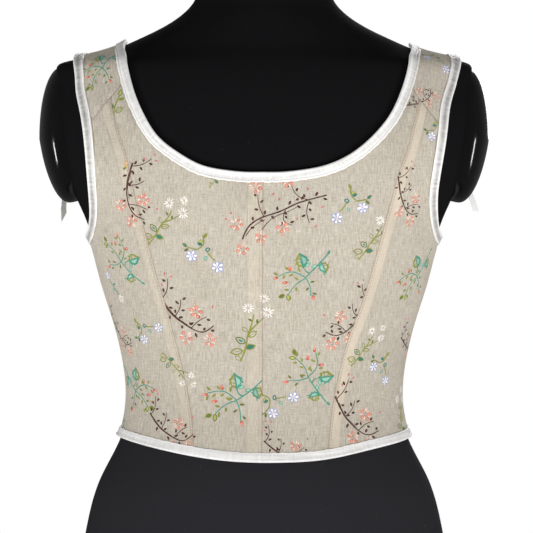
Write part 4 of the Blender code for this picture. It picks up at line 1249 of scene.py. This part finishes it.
def clothPanel(name, side):
    isStrap = name == "strap"
    mine, pieces, rows, seams, bound = lines[side], [], [], [], []
    for part in panels[name]:
        if part is None:
            tips = [between(mine["arm"], "end", "end")[0], between(mine["neck"], "end", "end")[0]]
            pieces.append((np.linspace(*tips, 14), 0.0, "end"))
        else:
            line, start, end, kind = part
            inset = cloth["underBinding"] if kind == "bound" else 0.0
            pieces.append((between(mine[line], start, end), inset, kind))
    if side == "left":
        pieces = [(piece[::-1], inset, kind) for piece, inset, kind in pieces[::-1]]
    for piece, _, kind in pieces:
        if kind in channels:
            width, inward = channels[kind] if side == "left" or kind != "centre" else 0.0, inwardOf(piece)
            far = list(cloth["rows"]) + ([width - 1, width, width + 0.8, width + 1.6] if width else [])
            rows += [moved(piece, inward * away) for away in far]
            seams.append((skin(*piece.T), width))
        elif kind == "bound":
            rows += [moved(piece, inwardOf(piece) * away) for away in (8.0, 8.5, 9.1, 10.4)]
            bound.append(skin(*piece.T))
    scale = np.array([spread, 1.0])
    outline = insetOutline([(piece, inset) for piece, inset, _ in pieces]) * scale
    step = cloth["gridStep"]
    grid = hexGrid(outline.min(0), outline.max(0), step)
    inner = np.concatenate([*(row * scale for row in rows), grid]) if rows else grid
    inner = inner[inside(inner, outline)]
    owner = f"{name}_{side}"
    rings, colours = [outline], [(0, 0, 0, 0)]
    for ring, colour in printed.get(owner, ()):
        flat = anticlockwise(ring * scale)
        if inside(flat, outline).any():
            rings.append(flat)
            colours.append(colour)
    points = np.concatenate([*rings, inner])
    starts = np.cumsum([0] + [len(ring) for ring in rings])
    faces = [tuple(range(a, b)) for a, b in zip(starts, starts[1:])]
    corners, outer = triangles(points, faces)
    places = corners / scale
    solid = skin(*places.T)
    lift = np.full(len(places), cloth["outside"])
    channel, seam = np.zeros(len(places)), np.zeros(len(places))
    for line, width in seams:
        away = nearest(solid, line)
        wave = 1 + 0.5 * np.sin(solid[:, 2] / 2.9) + 0.5 * np.sin(solid[:, 2] / 1.7 + solid[:, 0])
        lift -= cloth["seamDip"] * np.exp(-((away / cloth["seamWidth"]) ** 2))
        lift -= cloth["pucker"] * wave * np.exp(-((away / 5.0) ** 2))
        # painted shade along the seam line, where the cloth dips
        seam = np.maximum(seam, np.exp(-((away / 0.38) ** 2)))
        if width:
            band = 1 / (1 + np.exp((away - width) / 0.35))
            # a fainter painted shadow line at the channel's far edge
            seam = np.maximum(seam, 0.34 * np.exp(-(((away - width) / 0.5) ** 2)))
            lift += cloth["channelLift"] * band * (1 - np.exp(-((away / 1.8) ** 2)))
            channel = np.maximum(channel, band * (1.0 if side == "right" else 0.42))
    for line in bound:
        away = nearest(solid, line)
        # a painted shadow line just past the binding's edge
        seam = np.maximum(seam, 0.5 * np.exp(-(((away - 8.5) / 0.42) ** 2)))
        lift -= 0.12 * np.exp(-(((away - 9.5) / 2.5) ** 2)) * (1 + np.sin(solid @ (0.9, 0.3, 1.1)))
    for line, (_, _, _, _, _, width, depth) in zip(creaseLines, creases):
        lift -= depth * np.exp(-((nearest(solid, line) / width) ** 2))
    points = solid + surfaceFrame(*places.T)[2] * lift[:, None]
    rim = boundary(outer)
    rimFlat = corners[rim]
    coarse = hexGrid(outline.min(0), outline.max(0), step * 2)
    coarse = coarse[inside(coarse, rimFlat)]
    backCorners, back = triangles(np.concatenate([rimFlat, coarse]), [tuple(range(len(rimFlat)))], 1e-5)
    backPlaces = backCorners / scale
    backPoints = lifted(backPlaces, cloth["inside"] - cloth["seamDip"] * 0.6)
    shift = len(points)
    backFaces = [tuple(i + shift for i in face)[::-1] for face in back]
    wall = []
    for i, a in enumerate(rim):
        after = (i + 1) % len(rim)
        wall.append((rim[after], a, i + shift, after + shift))
    allPlaces = np.concatenate([places, backPlaces])
    grain = grainOf(allPlaces, isStrap)
    points, faces = np.concatenate([points, backPoints]), outer + backFaces + wall
    made = addMesh(f"cloth_{owner}", points, faces, finishes["linen"], 50, grain)
    mesh = made.data
    middles = corners[np.array(outer)].mean(1)
    colours = np.pad(inkOn(middles, rings, colours), ((0, len(faces) - len(outer)), (0, 0)))
    sizes = np.array([len(face) for face in faces])
    ink = mesh.color_attributes.new("ink", "FLOAT_COLOR", "CORNER")
    ink.data.foreach_set("color", np.repeat(colours, sizes, 0).ravel())
    unseen = (0, len(backPoints))
    masked(mesh, channel=np.pad(channel, unseen), seam=np.pad(seam, unseen))
    worn = grain[np.unique(outer)] * mm  # sprigs' points past the panel's edge are no cloth
    low, high = worn.min(0), worn.max(0)
    flatArea = sum(face.area for face in mesh.polygons[: len(outer)])
    worked(made, f"{'strap' if isStrap else 'panel_' + name}_{side}")
    width, length = high - low
    area = min(flatArea, width * length)
    print(f"{made.name}: {len(faces)} faces, cut from {width * 1000:.0f} x {length * 1000:.0f} mm")


for name, side in product(panels, sides):
    clothPanel(name, side)
print("cloth panels built")

# Satin bindings: how far in from the edge, and lift, round the folded strip
binding = {
    "strip": 21.0,
    "profile": (
        (8.3, 3.02),
        (8.35, 3.5),
        (8.0, 3.95),
        (7.4, 4.1),
        (6.7, 3.72),
        (5.9, 3.95),
        (4.6, 4.1),
        (3.2, 4.15),
        (2.3, 4.4),
        (1.4, 4.85),
        (0.6, 4.7),
        (0.05, 4.0),
        (-0.1, 3.0),
        (0.1, 2.0),
        (0.6, 1.3),
        (1.6, 1.0),
        (4.0, 0.95),
        (8.0, 0.95),
        (8.0, 1.7),
        (2.0, 1.8),
        (1.5, 2.4),
        (2.0, 3.02),
    ),
    "pucker": 0.13,
    "stitchIn": 6.75,
    "stitchLift": 3.86,
}


def bindingStrip(name, line, inward, node, paintedShade):
    # the last argument sets how strong the painted shade band across the satin is
    solid = skin(*line.T)
    along, upward, normal = surfaceFrame(*line.T)
    across = np.cross(normal, np.gradient(solid, axis=0)) * inward
    atFront = np.abs(line[:, 0]) > math.radians(179.5)
    across[atFront] = upward[atFront] * np.sign((across * upward).sum(-1))[atFront, None]
    across /= np.linalg.norm(across, axis=1, keepdims=True)
    run = runAlong(solid)
    columns, grain, heart, groove, inGirth = [], [], [], [], 0.0
    for i, (far, lift) in enumerate(binding["profile"]):
        outer = lift > 3.4
        # painted shade: a greyed band across the satin, wandering along the strip, where it would reflect
        # dark surroundings
        middle = 4.1 + (1 - paintedShade) * 2.4 * np.sin(run / 37.0 + 0.8 * np.sin(run / 61.0))
        heart.append((paintedShade if outer else 0.0) * np.exp(-(((far - middle) / 2.1) ** 4)))
        # painted shade along the stitch groove
        groove.append(0.42 * math.exp(-(((far - binding["stitchIn"]) / 0.4) ** 2)) if outer else 0.0)
        scallop = 0.2 * np.sin(run * 2 * math.pi / 2.7) + 0.12 * np.sin(run / 3.1)
        scallop *= far > 7.2 and outer
        bulge = math.exp(-(((far - 4.4) / 2.6) ** 2)) if outer else 0.0
        slant = run + far * 1.1
        ripple = np.sin(slant / 1.25 + 1.8 * np.sin(slant / 7.3))
        ripple += 0.7 * np.sin(slant / 2.3 + 1.3 * np.sin(slant / 11.7 + 2))
        fold = math.exp(-(((far - 1.2) / 1.2) ** 2)) if outer else 0.0
        swell = 0.25 * np.sin(run / 9.1 + np.sin(run / 23.0)) * fold
        swell = swell + 0.17 * np.sin(far * 1.5 + run / 13.0 + 1.5 * np.sin(run / 31.0)) * bulge
        inwards = across * np.reshape(far + scallop, (-1, 1))
        columns.append(lifted(moved(line, inwards), lift + binding["pucker"] * bulge * ripple + swell))
        if i:
            inGirth += math.hypot(far - binding["profile"][i - 1][0], lift - binding["profile"][i - 1][1])
        grain.append(np.stack([run, np.full(len(run), inGirth)], -1))
    rings = list(np.stack(columns, 1))
    made = addMesh(name, *loft(rings), finishes["satin"], 60, np.stack(grain, 1).reshape(-1, 2))
    masked(made.data, heart=np.stack(heart, 1), groove=np.tile(groove, (len(rings), 1)))
    worked(turnedOut(made), node)
    return lifted(moved(line, across * binding["stitchIn"]), binding["stitchLift"])


def shortened(line):
    # a line whose end stays a little short of its twin on the other side
    line = line.copy()
    line[-1] += (line[-2] - line[-1]) * 0.12
    return line


def joined(name, step=3.0):
    parts = [shortened(wholeLine(lines[side][name], step)) for side in ("left", "right")]
    return np.concatenate([parts[0][::-1], parts[1][1:]])


whiteRows = [
    bindingStrip("satin_neck", joined("neck", 2.0), -1, "binding_neck", 0.4),
    bindingStrip("satin_hem", joined("hem", 2.0), 1, "binding_hem", 0.22),
]
for side, sign in sides.items():
    edge = shortened(wholeLine(lines[side]["arm"], 2.0))
    whiteRows.append(bindingStrip(f"satin_arm_{side}", edge, -sign, f"binding_arm_{side}", 0.95))
print("bindings folded over the edges")


# Stitches: Geometry Nodes set small spindles of thread along rows
def stitchTree():
    tree = bpy.data.node_groups.new("stitch row", "GeometryNodeTree")
    face = tree.interface
    face.new_socket("Geometry", in_out="OUTPUT", socket_type="NodeSocketGeometry")
    face.new_socket("Rows", in_out="INPUT", socket_type="NodeSocketGeometry")
    for name in ("Spacing", "Length", "Width"):
        face.new_socket(name, in_out="INPUT", socket_type="NodeSocketFloat")
    face.new_socket("Seed", in_out="INPUT", socket_type="NodeSocketInt")
    face.new_socket("Thread", in_out="INPUT", socket_type="NodeSocketMaterial")
    add, link = tree.nodes.new, tree.links.new
    given, out = add("NodeGroupInput"), add("NodeGroupOutput")
    curve, even = add("GeometryNodeMeshToCurve"), add("GeometryNodeResampleCurve")
    even.mode = "LENGTH"
    link(given.outputs["Rows"], curve.inputs[0])
    link(curve.outputs[0], even.inputs["Curve"])
    link(given.outputs["Spacing"], even.inputs["Length"])
    bead = add("GeometryNodeMeshUVSphere")
    bead.inputs["Segments"].default_value, bead.inputs["Rings"].default_value = 6, 5
    bead.inputs["Radius"].default_value = 0.5
    way, turn = add("GeometryNodeInputTangent"), add("FunctionNodeAlignRotationToVector")
    turn.axis = "X"
    link(way.outputs[0], turn.inputs["Vector"])
    vary = add("FunctionNodeRandomValue")
    vary.data_type = "FLOAT_VECTOR"
    vary.inputs["Min"].default_value, vary.inputs["Max"].default_value = (0.82, 0.9, 0.9), (1.08, 1.1, 1.1)
    link(given.outputs["Seed"], vary.inputs["Seed"])
    size, scaled = add("ShaderNodeCombineXYZ"), add("ShaderNodeVectorMath")
    scaled.operation = "MULTIPLY"
    for socket, name in zip(size.inputs, ("Length", "Width", "Width")):
        link(given.outputs[name], socket)
    link(size.outputs[0], scaled.inputs[0])
    link(vary.outputs["Value"], scaled.inputs[1])
    place = add("GeometryNodeInstanceOnPoints")
    link(even.outputs[0], place.inputs["Points"])
    link(bead.outputs["Mesh"], place.inputs["Instance"])
    link(turn.outputs[0], place.inputs["Rotation"])
    link(scaled.outputs[0], place.inputs["Scale"])
    real, finish = add("GeometryNodeRealizeInstances"), add("GeometryNodeSetMaterial")
    link(place.outputs[0], real.inputs[0])
    link(real.outputs[0], finish.inputs["Geometry"])
    link(given.outputs["Thread"], finish.inputs["Material"])
    link(finish.outputs[0], out.inputs[0])
    return tree


stitches = stitchTree()


def sewRows(name, rows, slot, **sizes):
    points, edges = np.concatenate(rows) * mm, []
    start = 0
    for row in rows:
        edges += [(start + i, start + i + 1) for i in range(len(row) - 1)]
        start += len(row)
    mesh = bpy.data.meshes.new(name + "_rows")
    mesh.from_pydata(points.tolist(), edges, [])
    guide = bpy.data.objects.new(name + "_rows", mesh)
    bpy.context.scene.collection.objects.link(guide)
    live = guide.modifiers.new("stitches", "NODES")
    live.node_group = stitches
    for item in stitches.interface.items_tree:
        if item.in_out == "INPUT" and item.name in sizes:
            live[item.identifier] = sizes[item.name]
    graph = bpy.context.evaluated_depsgraph_get()
    done = bpy.data.meshes.new_from_object(guide.evaluated_get(graph))
    done.shade_smooth()
    bpy.data.objects.remove(guide)
    made = bpy.data.objects.new(name, done)
    bpy.context.scene.collection.objects.link(made)
    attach(made, "root")
    print(name, len(done.polygons), "faces")
    return made


threads = {
    "binding": {"Spacing": 0.0027, "Length": 0.0021, "Width": 0.00055, "Seed": 3},
    "seams": {"Spacing": 0.0026, "Length": 0.0017, "Width": 0.00036, "Seed": 8},
}
sewRows("stitches_binding", whiteRows, "satin", Thread=finishes["threadWhite"], **threads["binding"])

# Topstitching beside seams: the sides that have it, and how far each row lies from the seam
topRows = {
    "centre back": (("left",), (2.6, 12.0)),
    "princess back": (("left", "right"), (1.5, 8.4)),
    "princess front": (("left", "right"), (1.5, 8.4)),
    "centre front": (("left", "right"), (2.2, 9.4)),
}


def topStitches():
    rows = []
    for (name, (sewn, distances)), side in product(topRows.items(), sides):
        if side in sewn:
            line, short = lines[side][name], 2 if name == "princess back" else 9.5
            path = line["at"](np.linspace(9.5, line["end"] - short, round(line["end"] / 3)))
            outward = inwardOf(path) * (sides[side] if name.endswith("front") else -sides[side])
            for away in distances:
                lift = cloth["outside"] + (0.3 if away < 6 else 0.0)
                rows.append(lifted(moved(path, outward * away), lift))
    return rows


sewRows("stitches_seams", topStitches(), "linen", Thread=finishes["threadBeige"], **threads["seams"])
print("rows stitched")

# Ribbon bows at the front
bow = {
    "wide": 9.8,
    "wall": 0.35,
    "camber": 0.5,
    "lift": 2.0,
    "knot": (5.0, 5.5, 8.5),
    "strapEnd": (117.8, 513.4),
    "corner": (117.8, 482.1),
    "loopTilt": 0.012,
    "slant": 6.0,
    "twist": 64.0,
    "loop": (
        (5.6, 1.5, 6.0),
        (12, 2.5, 6.2),
        (20, 2.0, 6.6),
        (27, 0.5, 7.8),
        (29.5, -0.5, 10.2),
        (27, 0.0, 13.0),
        (20, 1.0, 14.0),
        (12, 1.5, 12.0),
        (5.6, 1.0, 8.8),
    ),
    "outerTail": ((5.0, -3.0, 4.0), (10, -3.0, 3.9), (26, -16, 4.6)),
    "outerEnd": {
        "left": ((175.0, 53.0, 451.0), (177.0, 58.0, 432.0)),
        "right": ((181.0, 53.0, 453.0), (187.0, 58.0, 437.5)),
    },
    "innerTail": ((-4.0, -5.2, 4.0), (-4.6, -9, 4.0), (-7, -22, 9.0), (-9, -38, 12.0), (-11, -54, 18.0)),
}


def ribbonBand(name, path, across, node, closed=False, slant=0.0):
    path, across = np.asarray(path, float), np.asarray(across, float)
    tangent = (np.roll(path, -1, 0) - np.roll(path, 1, 0)) if closed else np.gradient(path, axis=0)
    tangent /= np.linalg.norm(tangent, axis=1, keepdims=True)
    across = across - tangent * (across * tangent).sum(1, keepdims=True)
    across /= np.linalg.norm(across, axis=1, keepdims=True)
    facing = np.cross(tangent, across)
    run = runAlong(path)
    shares = np.linspace(-1, 1, 9)
    columns, grain = [], []
    for face, order in ((0.5, shares), (-0.5, shares[::-1])):
        for share in order:
            wave = 0.16 * np.sin(run / 3.7 + share * 2) + 0.1 * np.sin(run / 1.9)
            up = face * bow["wall"] + bow["camber"] * (0.5 - share**2) * 0.6 + wave * (1 - abs(share) * 0.6)
            point = path + across * share * bow["wide"] / 2 + facing * np.asarray(up)[:, None]
            if not closed:
                point[-1] += tangent[-1] * slant * share / 2
            columns.append(point)
            grain.append(np.stack([run, np.full(len(run), share * bow["wide"] / 2)], -1))
    shape, grain = loft(list(np.stack(columns, 1)), closed), np.stack(grain, 1).reshape(-1, 2)
    made = worked(turnedOut(addMesh(name, *shape, finishes["ribbon"], 50, grain)), node)
    length = (run[-1] + (np.linalg.norm(path[0] - path[-1]) if closed else 0)) * mm


def smoothPath(points, count):
    points = np.array(points, float)
    stops = runAlong(points)
    return spline(stops, points)(np.linspace(0, stops[-1], count))


def roundedLoop(points, times=3):
    points = np.array(points, float)
    for _ in range(times):
        after = np.roll(points, -1, 0)
        points = np.stack([points * 0.75 + after * 0.25, points * 0.25 + after * 0.75], 1).reshape(-1, 3)
    return points


def ribbonBow(side):
    sign = sides[side]
    x, z = np.array([bow["strapEnd"], bow["corner"]]).T
    tips = placesAt(x * sign, z, ["front"] * 2)
    here = tips.mean(0)[None]
    normal = surfaceFrame(*here.T)[2][0]
    up = -np.diff(skin(*tips.T), axis=0)[0]
    up -= normal * (up @ normal)
    up /= np.linalg.norm(up)
    out = np.cross(up, normal) * -sign
    foot = skin(*here.T)[0]

    def at(turn):
        return foot + out * turn[0] + up * turn[1] + normal * turn[2]

    wide, high, deep = bow["knot"]
    rings = []
    for t in np.linspace(-1, 1, 15):
        swell = max((1 - abs(t) ** 3.2) ** 0.42, 0.32)
        ring = []
        for a in np.linspace(0, 2 * math.pi, 28, endpoint=False):
            cx, cz = (math.copysign(abs(part) ** 0.7, part) for part in (math.cos(a), math.sin(a)))
            grow = swell * (1 + 0.035 * math.sin(a * 5 + t * 3))
            ring.append(at((wide * grow * cx, high * t, bow["lift"] + deep / 2 * (1 + grow * cz))))
        rings.append(np.array(ring))
    grain = [(12 * a / 28, 11 * row / 15) for row in range(15) for a in range(28)]
    knot = turnedOut(addMesh(f"ribbon_tied_{side}", *loft(rings), finishes["ribbon"], 60, grain))
    worked(knot, f"ribbon_knot_{side}")

    for name, far, reach in (("strap", tips[0], 1), ("corner", tips[1], -1)):
        near = moved(here, up[None] * reach * (high - 0.6))[0]
        rows = near + (far - near) * np.linspace(0, 1.25, 12)[:, None]
        path = lifted(rows, 2.4)
        across = np.cross(surfaceFrame(*rows.T)[2], np.gradient(path, axis=0))
        ribbonBand(f"ribbon_{name}_end_{side}", path, across, f"ribbon_tie_{name}_{side}")

    for name, towards in (("outer", 1), ("inner", -1)):
        points = [at((towards * row[0], row[1], row[2])) for row in bow["loop"]]
        path = roundedLoop(points)
        reach = np.abs((path - foot) @ out) - bow["loop"][0][0]
        tilted = up + out * towards * bow["loopTilt"] * reach[:, None]
        ribbonBand(f"ribbon_{name}_loop_{side}", path, tilted, f"ribbon_loop_{name}_{side}", closed=True)

    end = np.array(bow["outerEnd"][side]) * (sign, 1, 1)
    path = smoothPath([*(at(row) for row in bow["outerTail"]), *end], 44)
    flat = np.cross(np.gradient(path, axis=0), normal)
    flat /= np.linalg.norm(flat, axis=1, keepdims=True)
    twist = np.clip((np.linspace(0, 1, 44) - 0.45) / 0.4, 0, 1)[:, None] * math.radians(bow["twist"])
    across = flat * np.cos(twist) + np.array((0, 1, 0)) * np.sin(twist)
    slant = bow["slant"]
    ribbonBand(f"ribbon_outer_end_{side}", path, across, f"ribbon_tail_outer_{side}", slant=slant * sign)
    path = smoothPath([at(row) for row in bow["innerTail"]], 36)
    across = np.tile(out, (36, 1))
    ribbonBand(f"ribbon_inner_end_{side}", path, across, f"ribbon_tail_inner_{side}", slant=slant)


for side in sides:
    ribbonBow(side)
print("ribbons tied")

# Studio: floor, lights and the photograph's camera
studio = {
    "distance": 2.2,
    "elevation": 3.5,
    "lookAt": (0.0, 0.0, 0.392),
    "lens": 172.4,
    "shiftX": 0.0043,
    "floor": {"radius": 0.85, "corners": 96, "tone": 0.86, "glow": 0.25},
    "world": 0.35,
    "reflected": 0.1,
    "lights": (
        ("left", (-1.36, -1.12, -0.25), (0.22, 0.8), 20.0),
        ("right", (1.36, -1.12, -0.25), (0.22, 1.1), 25.0),
        ("low", (-0.12, -0.95, 0.05), (1.5, 0.2), 3.2),
        ("top", (0.0, -0.4, 2.6), (1.4, 1.4), 3.6),
        ("front", (0.4, 2.6, 1.2), (1.6, 1.6), 36.0),
    ),
}


def buildStudio():
    scene = bpy.context.scene
    scene.view_settings.view_transform = "Standard"
    world = bpy.data.worlds.new("studio")
    scene.world = world
    world.use_nodes = True
    tree = world.node_tree
    background = tree.nodes["Background"]
    background.inputs["Color"].default_value = (1, 1, 1, 1)
    path, strength = tree.nodes.new("ShaderNodeLightPath"), studio["world"]
    for ray, value in (("Is Glossy Ray", studio["reflected"]), ("Is Camera Ray", 1.0)):
        level = tree.nodes.new("ShaderNodeMix")
        level.inputs["B"].default_value = value
        tree.links.new(path.outputs[ray], level.inputs["Factor"])
        if isinstance(strength, float):
            level.inputs["A"].default_value = strength
        else:
            tree.links.new(strength, level.inputs["A"])
        strength = level.outputs["Result"]
    tree.links.new(strength, background.inputs["Strength"])
    floorMesh, ground = bpy.data.meshes.new("floor"), studio["floor"]
    count, radius = ground["corners"], ground["radius"]
    around = [2 * math.pi * i / count for i in range(count)]
    rim = [(radius * math.cos(a), radius * math.sin(a), 0) for a in around]
    floorMesh.from_pydata(rim, [], [tuple(range(count))])
    floor = bpy.data.objects.new("floor", floorMesh)
    scene.collection.objects.link(floor)
    pale = Finish("pale floor", Roughness=0.9)
    pale.set("Base Color", (*[ground["tone"]] * 3, 1))
    pale.set("Emission Color", (1, 1, 1, 1))
    pale.set("Emission Strength", ground["glow"])
    floor.data.materials.append(pale.material)
    floor.visible_glossy = False
    target = Vector(studio["lookAt"])
    for name, place, size, power in studio["lights"]:
        lamp = bpy.data.lights.new(name, "AREA")
        lamp.shape, lamp.energy = "RECTANGLE", power
        lamp.size, lamp.size_y = size
        light = bpy.data.objects.new(name, lamp)
        light.location, light.visible_camera, light.visible_glossy = place, False, name not in ("low", "top")
        light.rotation_euler = (target - Vector(place)).to_track_quat("-Z", "Y").to_euler()
        scene.collection.objects.link(light)
    lens = bpy.data.cameras.new("camera")
    lens.lens, lens.sensor_width, lens.shift_x = studio["lens"], 36.0, studio["shiftX"]
    lens.clip_start, lens.clip_end = 0.05, 50
    camera = bpy.data.objects.new("camera", lens)
    rise = math.radians(studio["elevation"])
    camera.location = target + Vector((0, -math.cos(rise), math.sin(rise))) * studio["distance"]
    camera.rotation_euler = (target - camera.location).to_track_quat("-Z", "Y").to_euler()
    scene.collection.objects.link(camera)
    scene.camera = camera


buildStudio()
print("studio set up")
